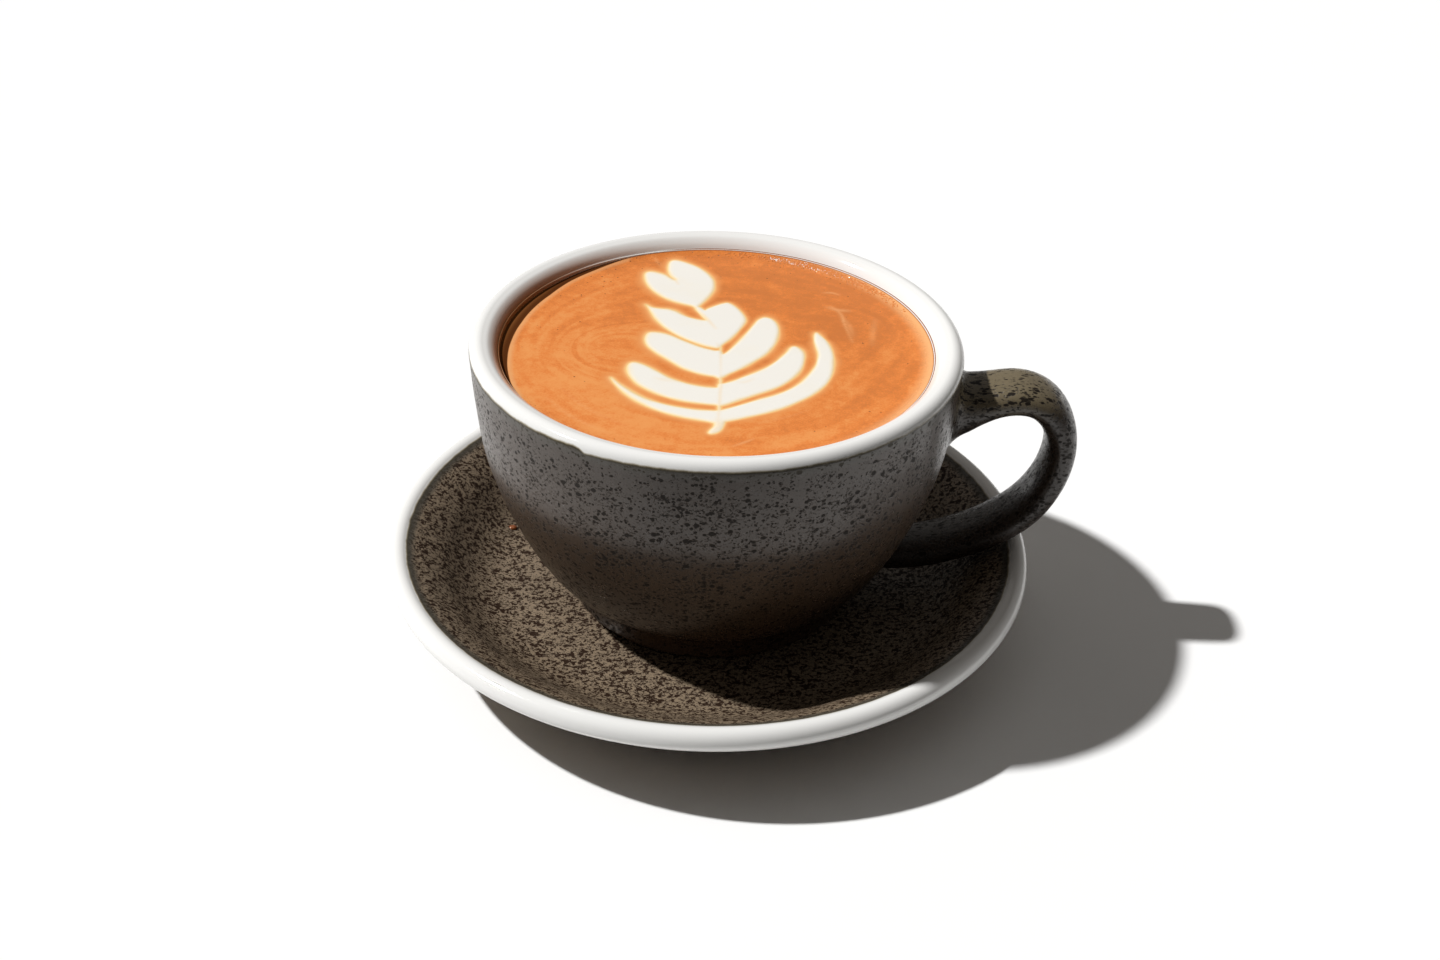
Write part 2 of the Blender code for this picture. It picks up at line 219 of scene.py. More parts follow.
# Foam leaf, seen from above: outline points of each petal in millimetres from the cup's axis.
PETALS = {
    "heart": ((-10.7, 33.8), (-11.8, 35.3), (-12.4, 37), (-12.7, 39.5), (-12.6, 42), (-12.1, 43.5),
        (-11, 44.1), (-9.1, 43.6), (-6.1, 41.7), (-4, 39.5), (-2.4, 37), (-1.3, 34.2), (-1, 31.7),
        (-1.1, 28.8), (-1.9, 25.9), (-2.9, 23.4), (-4, 21.2), (-4.6, 19.5), (-4.2, 18.7), (-5.4, 19.2),
        (-6.3, 20.2), (-8.4, 21.1), (-10.5, 22.1), (-12.3, 23.4), (-14.1, 25.2), (-15.7, 27.4),
        (-17, 29.9), (-17.9, 32.8), (-18.2, 35.3), (-18, 36.9), (-17.2, 37.7), (-16.1, 37.8),
        (-14.5, 37.2), (-13, 36.3), (-11.5, 34.6)),
    "neck": ((-5.6, 20.1), (-4.4, 20.1), (-3.4, 18.9), (-2.2, 17.3), (-1, 14.3), (-2.2, 12.7),
        (-3.4, 14.5), (-4.4, 16.6), (-5.3, 18.5)),
    "crown": ((-17, 20.5), (-15.3, 19.2), (-13.4, 18.7), (-11.6, 18.5), (-9.8, 17.6), (-8.4, 16.2),
        (-7, 14.9), (-5.1, 14), (-3.4, 13.6), (-2.2, 13.9), (-2.6, 15.7), (-3.3, 17.5), (-2.9, 18.8),
        (-1.9, 19.9), (-0.4, 21.2), (1, 22.2), (2.2, 22.6), (3.5, 21.6), (4.9, 19.4), (6, 16.9),
        (6.5, 15.2), (6.6, 13.5), (6.1, 11.6), (5.1, 9), (4.1, 6.5), (3, 4.3), (1.6, 2.2), (0.7, 0.6),
        (-0.2, 0.1), (-3.1, 1.1), (-5.6, 2.7), (-8.2, 4.7), (-10.3, 6.8), (-12.1, 9), (-13.5, 11.2),
        (-14.8, 13.7), (-15.7, 16.3), (-16.5, 18.7)),
    "upper_left": ((1.4, -2), (-0.6, -0.8), (-2.7, 0.1), (-5.2, 1.7), (-7.8, 3.6), (-10.3, 5.6),
        (-12.1, 6.6), (-13.9, 7), (-15.5, 6.8), (-16.3, 5.4), (-16.5, 3.1), (-16, 0.8), (-15.1, -1),
        (-13.5, -3.2), (-11.7, -5.1), (-9.6, -7.4), (-7.6, -9.5), (-5.2, -11.1), (-3.1, -12.1),
        (-0.6, -12.8), (1.2, -12.9)),
    "upper_right": ((0.4, -3.4), (1.7, -2.2), (2.8, -0.5), (4.1, 2.2), (5.5, 5.4), (6.9, 8.6),
        (8.2, 11.9), (9.2, 14.3), (10.5, 15.7), (11.6, 15.7), (12.8, 14.8), (13.8, 12.7), (14.2, 9.7),
        (14.1, 6.8), (13.5, 3.6), (12.4, 0.4), (11, -2.4), (9.1, -4.9), (6.9, -7.7), (4.8, -9.8),
        (2.9, -11.6), (1.4, -13.3), (0.4, -12.5)),
    "middle_left": ((1.4, -17.5), (-0.1, -17.5), (-2.7, -17.2), (-5.6, -16.3), (-7.8, -15.2),
        (-10, -13.8), (-11.7, -12.2), (-13.5, -10.4), (-15.3, -8.8), (-17.1, -7.6), (-18.4, -7.3),
        (-19.4, -8), (-19.8, -9.8), (-19.6, -12), (-18.7, -14.5), (-17.3, -17), (-15.3, -19.1),
        (-12.8, -21.1), (-10, -22.7), (-7.1, -23.9), (-3.8, -24.6), (-0.2, -25.1), (1.2, -25)),
    "middle_right": ((0.4, -16.5), (2, -15.5), (4.1, -14.1), (6.2, -12.3), (8.7, -10.2), (11, -8),
        (13.1, -5.3), (14.5, -2.8), (15.6, -0.7), (16.4, 1.3), (17.3, 2.2), (18.4, 1.8), (19.5, 0.1),
        (19.9, -2.1), (19.7, -4.6), (19.2, -7.7), (18.3, -10.4), (16.8, -13), (14.9, -15.5),
        (12.4, -17.9), (9.4, -20), (6.6, -22), (4.1, -23.8), (1.8, -25.3), (0.4, -25)),
    "outer_left": ((1.4, -27.3), (-0.2, -27.3), (-3.8, -27.1), (-7.1, -26.4), (-10, -25.5),
        (-12.5, -24.4), (-15, -22.9), (-17.1, -21.1), (-19.2, -18.9), (-21, -16.8), (-22.4, -14.8),
        (-23, -14.4), (-22.8, -15.6), (-21.7, -18), (-20, -20.9), (-17.8, -23.7), (-15.3, -26),
        (-12.8, -27.8), (-10, -29.4), (-7.1, -30.6), (-4.1, -31.5), (-1.3, -32.2), (0.6, -32.9),
        (1.6, -32)),
    "outer_right": ((0.2, -27.6), (1.8, -26.8), (4.1, -25.5), (6.9, -23.7), (9.8, -21.8), (13.1, -19.8),
        (16.1, -17.3), (18.3, -14.5), (19.9, -11.6), (21, -9.1), (22, -6.4), (22.5, -3.5), (22.6, -0.7),
        (22.2, 2.6), (22, 5.4), (22.1, 7.9), (22.8, 9.1), (24.2, 6.8), (25.4, 4), (26.1, 0.8),
        (26.4, -2.8), (26.3, -6.4), (25.8, -10.1), (24.7, -13.8), (23.1, -17), (21, -19.8),
        (18.1, -22.7), (14.9, -25.5), (11.7, -27.6), (8.4, -29.2), (5.1, -30.8), (2.6, -31.9),
        (0.8, -32.9), (0, -31.6)),
    "stem": ((0.5, 3.2), (1.0, 2.6), (1.1, -0.8), (1.2, -7.9), (1.4, -15.9), (1.35, -24), (1.4, -32),
        (0.6, -32), (0.65, -24), (0.75, -15.9), (0.7, -7.9), (0.6, -0.8)),
    "tail": ((-0.3, -31.6), (2.2, -31.6), (2.2, -33.2), (1.7, -35.2), (0.8, -36.5), (-0.5, -37.1),
        (-1.2, -36.6), (-0.9, -35.4), (-0.2, -34), (-0.1, -32.8)),
}

# Faint cream folds in the foam, in millimetres: points, width and strength.
FOLDS = (
    (((0, 2.2), (0.8, -1.3), (1, -5.8), (1.1, -12.9)), 0.7, 0.75),
    (((1.1, -11.9), (1.3, -14.9), (1.1, -19.9), (1, -26), (0.9, -31)), 0.8, 0.95),
    (((0.9, -31), (0.9, -34), (-0.6, -37)), 1.6, 0.85),
    (((-11.7, 35.6), (-10.5, 33.2), (-9.7, 31)), 0.7, 0.8),
    (((-5.4, 19.5), (-3.8, 16.5), (-2, 12.9), (-0.4, 9.4)), 0.9, 0.95),
    (((-13.3, -14.3), (-11.1, -15.1), (-8.1, -15.7)), 1.2, 0.45),
    (((5, -15.1), (6.6, -14.9), (8.4, -13.3)), 1.1, 0.4),
)

# Pale wisps on the crema, in millimetres: points, width and strength.
WISPS = (
    (((26.5, 22.3), (28.6, 18.7), (29.4, 13.3), (30.8, 5.2)), 0.8, 0.75),
    (((25.7, 21.7), (28.2, 20.5), (30.6, 20.3)), 1.3, 0.55),
    (((28.6, 17.9), (30.4, 12.7), (31, 8.2)), 1.3, 0.35),
    (((24.9, 29.2), (27, 29.3), (28.6, 28.4)), 0.7, 0.6),
    (((36.6, 16.3), (35.8, 10.3), (35.2, 4.2)), 1.4, 0.3),
    (((4, -41.7), (6.4, -40), (8.4, -38.4)), 0.7, 0.6),
    (((-36.2, -24), (-30.2, -31.6), (-22.1, -38)), 1.0, 0.35),
    (((-33.2, -19.9), (-27.2, -28), (-18.1, -35)), 0.9, 0.3),
    (((-16.5, 44.9), (-14.7, 42), (-13.7, 39.4)), 0.8, 0.45),
    (((20.1, -26), (14.7, -29.6), (9, -32.2)), 0.8, 0.25),
)

# Where the crema curls round, in millimetres: place, reach and strength of the curl.
CURLS = (((-24.7, -1.3), 8.5, 3.2), ((33.2, 12.3), 9.0, 1.5))

# The photograph's camera: place, downward tilt, roll, and focal length for a 36 mm wide picture.
CAMERA_FROM_SAUCER = Vector((0.00244, -0.36555, 0.27136))
CAMERA_TILT = math.radians(32.776)
CAMERA_ROLL = math.radians(1.746)
CAMERA_LENS = 46.375

# The fill light comes from above and behind.
FILL_TOWARD = (0.0, 0.64, 0.77)

# The way the key light travels.
LIGHT_TRAVEL = Vector((0.820, -0.063, -1.0))


# Sizes and colours that a user can change

class LatteCupSettings(bpy.types.PropertyGroup):
    """Sizes and glaze colours of the cup."""
    segments: bpy.props.IntProperty(name="Segments", description="Steps round the cup", default=256, min=32)
    handle_width: bpy.props.FloatProperty(
        name="Handle width", description="Width of the handle's band", default=0.0150, unit="LENGTH")
    upper_flare: bpy.props.FloatProperty(
        name="Upper flare", description="Radius where the handle meets the wall below the rim",
        default=0.0034, unit="LENGTH")
    lower_flare: bpy.props.FloatProperty(
        name="Lower flare", description="Radius where the handle meets the wall above the foot",
        default=0.0024, unit="LENGTH")
    glaze_edge: bpy.props.FloatProperty(
        name="Glaze edge", description="Height where the white glaze ends, below the rim",
        default=0.0016, unit="LENGTH")
    white: bpy.props.FloatVectorProperty(
        name="White glaze", description="Glaze of the inside and the lip", subtype="COLOR",
        default=(0.875, 0.868, 0.845))
    taupe: bpy.props.FloatVectorProperty(
        name="Taupe glaze", description="Glaze of the outside", subtype="COLOR", default=(0.066, 0.047, 0.034))
    speck: bpy.props.FloatVectorProperty(
        name="Specks", description="Dark specks in the glaze", subtype="COLOR", default=(0.013, 0.009, 0.006))


class LatteSaucerSettings(bpy.types.PropertyGroup):
    """Sizes and glaze colours of the saucer."""
    segments: bpy.props.IntProperty(name="Segments", description="Steps round the saucer", default=288, min=32)
    glaze_edge: bpy.props.FloatProperty(
        name="Glaze edge", description="Radius where the dark glaze ends", default=0.0713, unit="LENGTH")
    white: bpy.props.FloatVectorProperty(
        name="White glaze", description="Glaze of the bead", subtype="COLOR",
        default=(0.875, 0.868, 0.845))
    taupe: bpy.props.FloatVectorProperty(
        name="Taupe glaze", description="Glaze of the top and the underside", subtype="COLOR", default=(0.275, 0.207, 0.138))
    mottle: bpy.props.FloatVectorProperty(
        name="Mottling", description="Brown mottling of the top", subtype="COLOR", default=(0.026, 0.013, 0.007))


class LatteDrinkSettings(bpy.types.PropertyGroup):
    """Sizes and colours of the drink and its foam."""
    segments: bpy.props.IntProperty(name="Segments", description="Steps round the drink", default=384, min=32)
    rings: bpy.props.IntProperty(name="Rings", description="Rings of the drink's top", default=110, min=10)
    crema: bpy.props.FloatVectorProperty(
        name="Crema", description="Main colour of the crema", subtype="COLOR", default=(0.770, 0.230, 0.047))
    crema_dark: bpy.props.FloatVectorProperty(
        name="Dark crema", description="Darker streaks of the crema", subtype="COLOR",
        default=(0.615, 0.185, 0.040))
    crema_pale: bpy.props.FloatVectorProperty(
        name="Pale crema", description="Paler streaks of the crema", subtype="COLOR",
        default=(0.830, 0.322, 0.090))
    foam: bpy.props.FloatVectorProperty(
        name="Milk foam", description="Colour of the foam leaf", subtype="COLOR", default=(0.900, 0.868, 0.800))
    foam_edge: bpy.props.FloatVectorProperty(
        name="Foam edge", description="Cream colour where foam and crema blend", subtype="COLOR",
        default=(0.920, 0.640, 0.270))
    foam_rise: bpy.props.FloatProperty(
        name="Foam rise", description="Height of the leaf above the crema", default=0.00012, unit="LENGTH")
    bubbles: bpy.props.IntProperty(name="Bubbles", description="Bubbles along the wall", default=2200, min=0)
    seed: bpy.props.IntProperty(name="Seed", description="Seed for the bubbles' places", default=7, min=0)


class LatteStageSettings(bpy.types.PropertyGroup):
    """Floor, light and camera."""
    floor_size: bpy.props.FloatProperty(
        name="Floor size", description="Side of the square floor", default=6.0, unit="LENGTH")
    floor_colour: bpy.props.FloatVectorProperty(
        name="Floor", description="Colour of the floor", subtype="COLOR", default=(0.95, 0.95, 0.945))
    key_strength: bpy.props.FloatProperty(name="Key", description="Strength of the key light", default=3.82)
    key_softness: bpy.props.FloatProperty(
        name="Key softness", description="Apparent size of the key light", subtype="ANGLE",
        default=math.radians(2.2))
    fill_strength: bpy.props.FloatProperty(name="Fill", description="Strength of the fill light", default=0.19)
    fill_least: bpy.props.FloatProperty(name="Least fill", description="Fill from the front", default=0.02)
    front_share: bpy.props.FloatProperty(
        name="Front share", description="Share of light sent back by the floor in front, out of the picture",
        default=0.25, min=0.0, max=1.0)
    fill_colour: bpy.props.FloatVectorProperty(
        name="Fill colour", description="Colour of the fill light", subtype="COLOR", default=(1.0, 0.95, 0.895))


# Lines and outlines

def smooth_line(points, steps):
    """Points of a smooth line through all the given points."""
    ends = [2 * Vector(points[0]) - Vector(points[1]), 2 * Vector(points[-1]) - Vector(points[-2])]
    knots = [ends[0]] + [Vector(point) for point in points] + [ends[1]]
    line = []
    for a, b, c, d in zip(knots, knots[1:], knots[2:], knots[3:]):
        for step in range(steps):
            t = step / steps
            line.append(0.5 * (2 * b + (c - a) * t + (2 * a - 5 * b + 4 * c - d) * t ** 2
                               + (3 * b - a - 3 * c + d) * t ** 3))
    return line + [knots[-2]]


def arc(centre, radius, span, steps):
    """Points of an arc over a span from one angle to another, in degrees."""
    start, end = span
    angles = [math.radians(start + (end - start) * step / steps) for step in range(steps + 1)]
    return [Vector((centre[0] + radius * math.cos(a), centre[1] + radius * math.sin(a))) for a in angles]


def cup_outside():
    """The cup's outer profile, from the lip's widest point down to the foot."""
    widest = (LIP_CENTRE[0] + LIP_RADIUS, LIP_CENTRE[1])
    return smooth_line((widest,) + BELLY + ((FOOT_RADIUS, FOOT_TOP),), 12)


def cup_profile():
    """The cup's whole profile, from the axis inside to the axis underneath."""
    lip = arc(LIP_CENTRE, LIP_RADIUS, (105, 0), 22)
    waterline = (DRINK_RADIUS + 0.3 * MM, WATERLINE)
    inside = smooth_line(CUP_INSIDE + (waterline,) + LIP_SLOPE + (tuple(lip[0]),), 8)
    foot = (arc((FOOT_RADIUS - FOOT_ROUNDING, CUP_BASE + FOOT_ROUNDING), FOOT_ROUNDING, (0, -90), 6)
            + arc((FOOT_RING_INSIDE, CUP_BASE + FOOT_ROUNDING), FOOT_ROUNDING, (-90, -180), 6))
    recess = [Vector((FOOT_RING_INSIDE - 2 * FOOT_ROUNDING, CUP_BASE + FOOT_RECESS)),
              Vector((0.0, CUP_BASE + FOOT_RECESS))]
    return [Vector((0.0, CUP_FLOOR))] + inside + lip[1:-1] + cup_outside() + foot + recess


def saucer_top_line():
    """The saucer's upper profile, from the axis to where its bead begins."""
    bead_start = arc(BEAD_CENTRE, BEAD_RADIUS, (128, -118), 40)[0]
    return [Vector((0.0, WELL_HEIGHT))] + smooth_line(((WELL_RADIUS, WELL_HEIGHT),) + SAUCER_WALL
                                                      + (tuple(bead_start),), 10)


def saucer_profile():
    """The saucer's whole profile, from the axis on top to the axis underneath."""
    bead = arc(BEAD_CENTRE, BEAD_RADIUS, (128, -118), 40)
    under = smooth_line((tuple(bead[-1]),) + SAUCER_UNDER + ((STAND_OUTSIDE, STAND_TOP),), 6)
    ring = (arc((STAND_OUTSIDE - STAND_ROUNDING, STAND_ROUNDING), STAND_ROUNDING, (0, -90), 5)
            + arc((STAND_INSIDE + STAND_ROUNDING, STAND_ROUNDING), STAND_ROUNDING, (-90, -180), 5))
    middle = [Vector((STAND_INSIDE, STAND_RECESS)), Vector((0.0, STAND_RECESS))]
    return saucer_top_line() + bead[1:-1] + under + ring + middle


def closed_line(points, steps):
    """Points of a smooth closed line through all the given points."""
    knots = [Vector(point) for point in points]
    return smooth_line(knots[-2:] + knots + knots[:2], steps)[2 * steps:-steps - 1]


# Modelling with Blender's own operators

def deselect_all():
    """Leaves no object selected, so that an operator acts on the new piece alone."""
    if bpy.context.object and bpy.context.object.mode != "OBJECT":
        bpy.ops.object.mode_set(mode="OBJECT")
    bpy.ops.object.select_all(action="DESELECT")


def turned_piece(name, profile, axis, segments):
    """A solid spun about an upright axis from its profile."""
    deselect_all()
    bpy.ops.mesh.primitive_plane_add(size=MM)
    piece = bpy.context.object
    piece.name = piece.data.name = name
    bpy.ops.object.mode_set(mode="EDIT")
    bpy.ops.mesh.select_all(action="SELECT")
    bpy.ops.mesh.merge(type="CENTER")
    bpy.ops.transform.translate(value=(axis.x + profile[0][0], axis.y, profile[0][1]))
    for here, there in zip(profile, profile[1:]):
        step = (there[0] - here[0], 0.0, there[1] - here[1])
        bpy.ops.mesh.extrude_region_move(TRANSFORM_OT_translate={"value": step})
    bpy.ops.mesh.select_all(action="SELECT")
    bpy.ops.mesh.spin(steps=segments, angle=WHOLE_TURN, center=(axis.x, axis.y, 0.0), axis=(0.0, 0.0, 1.0))
    bpy.ops.mesh.select_all(action="SELECT")
    bpy.ops.mesh.remove_doubles(threshold=1e-6)
    bpy.ops.mesh.normals_make_consistent(inside=False)
    bpy.ops.object.mode_set(mode="OBJECT")
    bpy.ops.object.shade_smooth()
    return piece


def petal_solid(name, floor, top, steps=5):
    """One upright-sided petal, extruded from a filled circle that is shaped to its outline."""
    outline = closed_line(PETALS[name], steps)
    deselect_all()
    bpy.ops.mesh.primitive_circle_add(vertices=len(outline), radius=MM, fill_type="NGON")
    piece = bpy.context.object
    piece.name = name
    for vertex, place in zip(piece.data.vertices, outline):
        vertex.co = (CUP_AXIS.x + place.x * MM, CUP_AXIS.y + place.y * MM, floor)
    bpy.ops.object.mode_set(mode="EDIT")
    bpy.ops.mesh.select_all(action="SELECT")
    bpy.ops.mesh.extrude_region_move(TRANSFORM_OT_translate={"value": (0.0, 0.0, top - floor)})
    bpy.ops.mesh.select_all(action="SELECT")
    bpy.ops.mesh.normals_make_consistent(inside=False)
    bpy.ops.object.mode_set(mode="OBJECT")
    return piece


def combine(piece, operation, others):
    """Joins other solids to a piece, or cuts it with them, and removes them."""
    group = bpy.data.collections.new(operation)
    bpy.context.scene.collection.children.link(group)
    for other in others:
        group.objects.link(other)
    deselect_all()
    piece.select_set(True)
    bpy.context.view_layer.objects.active = piece
    cut = piece.modifiers.new(operation, "BOOLEAN")
    cut.operation = operation
    cut.operand_type = "COLLECTION"
    cut.collection = group
    cut.solver = "EXACT"
    bpy.ops.object.modifier_apply(modifier=cut.name)
    for other in others:
        bpy.data.objects.remove(other, do_unlink=True)
    bpy.data.collections.remove(group)
    return piece


def settle(piece, slot, material, *nodes):
    """Gives a finished piece its material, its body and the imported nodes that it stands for."""
    piece.data.materials.clear()
    piece.data.materials.append(material)
    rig.ride(piece, "root")
    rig.slot(piece, slot)
    if nodes:
        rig.replaces(piece, *nodes)
    return piece


# Values kept on the vertices

def vertex_places(piece):
    """All vertex places of a piece, as an array."""
    places = np.empty(len(piece.data.vertices) * 3)
    piece.data.vertices.foreach_get("co", places)
    return places.reshape(-1, 3)


def keep_value(piece, name, values):
    """Keeps one value for each vertex, in millimetres or as a share."""
    attribute = piece.data.attributes.new(name, "FLOAT", "POINT")
    attribute.data.foreach_set("value", np.asarray(values, np.float32))


def distance_along(piece, axis, profile):
    """How far along the profile each vertex and each profile point lies, in millimetres."""
    line = np.array([(point[0], point[1]) for point in profile])
    along = np.concatenate(([0.0], np.cumsum(np.linalg.norm(np.diff(line, axis=0), axis=1)))) / MM
    places = vertex_places(piece)
    flat = np.column_stack((np.hypot(places[:, 0] - axis.x, places[:, 1] - axis.y), places[:, 2]))
    nearest = np.empty(len(flat), int)
    for start in range(0, len(flat), 4000):
        part = flat[start:start + 4000]
        nearest[start:start + 4000] = ((part[:, None] - line) ** 2).sum(2).argmin(1)
    return along[nearest], along


def distance_to_lines(places, starts, ends):
    """Distance in metres, seen from above, from each place to the nearest of many short lines."""
    starts, ends = np.asarray(starts)[:, :2], np.asarray(ends)[:, :2]
    spans = ends - starts
    lengths = np.maximum((spans ** 2).sum(1), 1e-18)
    nearest = np.empty(len(places))
    for first in range(0, len(places), 2000):
        part = places[first:first + 2000, None, :2] - starts
        share = np.clip((part * spans).sum(2) / lengths, 0.0, 1.0)
        nearest[first:first + 2000] = np.sqrt((((part - share[..., None] * spans) ** 2).sum(2)).min(1))
    return nearest


def stroke_value(places, strokes):
    """How strongly each place is touched by soft strokes that fade to their ends."""
    touched = np.zeros(len(places))
    centred = (places[:, :2] - np.array(CUP_AXIS[:2])) / MM
    for points, width, strength in strokes:
        line = np.array([tuple(point) for point in smooth_line(points, 8)])
        gap = np.linalg.norm(centred[:, None] - line, axis=2)
        near, share = gap.min(1), gap.argmin(1) / (len(line) - 1)
        soft = np.exp(-(2 * near / width) ** 2) * np.sin(np.pi * (0.15 + 0.70 * share))
        touched = np.maximum(touched, strength * soft)
    return touched


# Shader nodes

def add_node(tree, kind, links=None, **settings):
    """Adds a node, links or sets its inputs and returns it."""
    node = tree.nodes.new(kind)
    for name, value in settings.items():
        setattr(node, name, value)
    for name, value in (links or {}).items():
        if isinstance(value, bpy.types.NodeSocket):
            tree.links.new(value, node.inputs[name])
        else:
            node.inputs[name].default_value = value
    return node


def add_math(tree, operation, first, second=0.0):
    """A sum, product or comparison of two values."""
    return add_node(tree, "ShaderNodeMath", {0: first, 1: second}, operation=operation).outputs[0]


def add_step(tree, value, low, high):
    """A smooth step from 0 to 1 between two values."""
    return add_node(tree, "ShaderNodeMapRange", {"Value": value, "From Min": low, "From Max": high},
                    interpolation_type="SMOOTHSTEP").outputs["Result"]


def add_mix(tree, share, first, second):
    """A blend of two colours."""
    mix = add_node(tree, "ShaderNodeMix", data_type="RGBA")
    for index, value in ((0, share), (6, first), (7, second)):
        if isinstance(value, bpy.types.NodeSocket):
            tree.links.new(value, mix.inputs[index])
        elif index == 0:
            mix.inputs[index].default_value = value
        else:
            mix.inputs[index].default_value = (*value[:3], 1.0)
    return mix.outputs[2]


def add_ramp(tree, value, stops):
    """A colour ramp over stops of position and colour."""
    ramp = add_node(tree, "ShaderNodeValToRGB", {"Fac": value})
    elements = ramp.color_ramp.elements
    while len(elements) < len(stops):
        elements.new(1.0)
    for element, (position, colour) in zip(elements, stops):
        element.position = position
        element.color = (*colour[:3], 1.0)
    return ramp.outputs["Color"]


def add_noise(tree, place, scale, detail=3.0, roughness=0.5, distortion=0.0):
    """A soft noise value."""
    return add_node(tree, "ShaderNodeTexNoise",
                    {"Vector": place, "Scale": scale, "Detail": detail, "Roughness": roughness,
                     "Distortion": distortion}).outputs["Fac"]


def new_material(name):
    """A material with an empty tree but for its surface shader and output."""
    material = bpy.data.materials.new(name)
    material.use_nodes = True
    tree = material.node_tree
    return material, tree, tree.nodes["Principled BSDF"]


def new_group(name, inputs, outputs):
    """A shader node group with named inputs and outputs."""
    group = bpy.data.node_groups.new(name, "ShaderNodeTree")
    for label, kind, default in inputs:
        socket = group.interface.new_socket(label, in_out="INPUT", socket_type=kind)
        if default is not None:
            socket.default_value = default
    for label, kind in outputs:
        group.interface.new_socket(label, in_out="OUTPUT", socket_type=kind)
    entry = group.nodes.new("NodeGroupInput").outputs
    leave = group.nodes.new("NodeGroupOutput").inputs
    return group, entry, leave


def use_group(tree, group, links):
    """Places a node group in a material."""
    node = tree.nodes.new("ShaderNodeGroup")
    node.node_tree = group
    for name, value in links.items():
        if isinstance(value, bpy.types.NodeSocket):
            tree.links.new(value, node.inputs[name])
        else:
            node.inputs[name].default_value = value
    return node


def speck_group():
    """Scattered specks of uneven size and ragged outline."""
    group, entry, leave = new_group(
        "Glaze specks",
        (("Place", "NodeSocketVector", None), ("Scale", "NodeSocketFloat", 500.0),
         ("Size", "NodeSocketFloat", 0.30), ("Share", "NodeSocketFloat", 0.5),
         ("Raggedness", "NodeSocketFloat", 0.35)),
        (("Mask", "NodeSocketFloat"),))
    ragged = add_node(group, "ShaderNodeTexNoise", {"Vector": entry["Place"], "Detail": 2.0})
    group.links.new(add_math(group, "MULTIPLY", entry["Scale"], 2.2), ragged.inputs["Scale"])
    shift = add_node(group, "ShaderNodeVectorMath", {0: ragged.outputs["Color"], 1: (0.5, 0.5, 0.5)},
                     operation="SUBTRACT")
    reach = add_math(group, "DIVIDE", entry["Raggedness"], entry["Scale"])
    pushed = add_node(group, "ShaderNodeVectorMath", {0: shift.outputs[0]}, operation="SCALE")
    group.links.new(reach, pushed.inputs["Scale"])
    place = add_node(group, "ShaderNodeVectorMath", {0: entry["Place"], 1: pushed.outputs[0]}, operation="ADD")
    cells = add_node(group, "ShaderNodeTexVoronoi", {"Vector": place.outputs[0], "Scale": entry["Scale"]})
    lots = add_node(group, "ShaderNodeSeparateColor", {"Color": cells.outputs["Color"]})
    present = add_math(group, "LESS_THAN", lots.outputs["Red"], entry["Share"])
    size = add_math(group, "MULTIPLY", add_math(group, "ADD", lots.outputs["Green"], 0.35), entry["Size"])
    rest = add_math(group, "SUBTRACT", size, cells.outputs["Distance"])
    edge = add_step(group, rest, -0.05, 0.08)
    group.links.new(add_math(group, "MULTIPLY", edge, present), leave["Mask"])
    return group


def mottle_group():
    """Dense blotches that cover a share of the surface."""
    group, entry, leave = new_group(
        "Glaze mottling",
        (("Place", "NodeSocketVector", None), ("Scale", "NodeSocketFloat", 900.0),
         ("Level", "NodeSocketFloat", 0.52), ("Softness", "NodeSocketFloat", 0.03)),
        (("Mask", "NodeSocketFloat"),))
    noise = add_noise(group, entry["Place"], entry["Scale"], 3.0, 0.62, 0.4)
    low = add_math(group, "SUBTRACT", entry["Level"], entry["Softness"])
    high = add_math(group, "ADD", entry["Level"], entry["Softness"])
    group.links.new(add_step(group, noise, low, high), leave["Mask"])
    return group


def relief_group():
    """Orange-peel relief of a hand-dipped glaze."""
    group, entry, leave = new_group(
        "Glaze relief",
        (("Place", "NodeSocketVector", None), ("Coarse", "NodeSocketFloat", 220.0),
         ("Fine", "NodeSocketFloat", 1500.0), ("Fine share", "NodeSocketFloat", 0.3)),
        (("Height", "NodeSocketFloat"),))
    coarse = add_noise(group, entry["Place"], entry["Coarse"], 2.0)
    fine = add_noise(group, entry["Place"], entry["Fine"], 2.0)
    group.links.new(add_math(group, "ADD", coarse, add_math(group, "MULTIPLY", fine, entry["Fine share"])),
                    leave["Height"])
    return group


def shared_group(name, maker):
    """A node group that is built the first time it is asked for."""
    return bpy.data.node_groups.get(name) or maker()


def object_place(tree, stretch=(1.0, 1.0, 1.0)):
    """Object coordinates, stretched for a pattern with a direction."""
    coordinates = add_node(tree, "ShaderNodeTexCoord")
    mapping = add_node(tree, "ShaderNodeMapping", {"Vector": coordinates.outputs["Object"], "Scale": stretch})
    return mapping.outputs["Vector"]


def kept_value(tree, name):
    """A value kept on the vertices."""
    return add_node(tree, "ShaderNodeAttribute", attribute_name=name).outputs["Fac"]


def glaze_edge(tree, place, line, white, dark):
    """White glaze that thins to olive and then to the dark glaze across the edge."""
    waver = add_math(tree, "MULTIPLY", add_math(tree, "SUBTRACT", add_noise(tree, place, 320.0), 0.5), 0.55)
    share = add_step(tree, add_math(tree, "ADD", line, waver), -0.30, 0.75)
    thin = add_ramp(tree, share, ((0.0, white), (0.30, (0.40, 0.36, 0.28)), (0.55, (0.14, 0.115, 0.07)),
                                  (0.80, (0.060, 0.050, 0.034)), (1.0, (0.070, 0.060, 0.045))))
    beyond = add_step(tree, add_math(tree, "ADD", line, add_math(tree, "MULTIPLY", waver, 3.0)), 0.8, 3.0)
    return add_mix(tree, beyond, thin, dark)


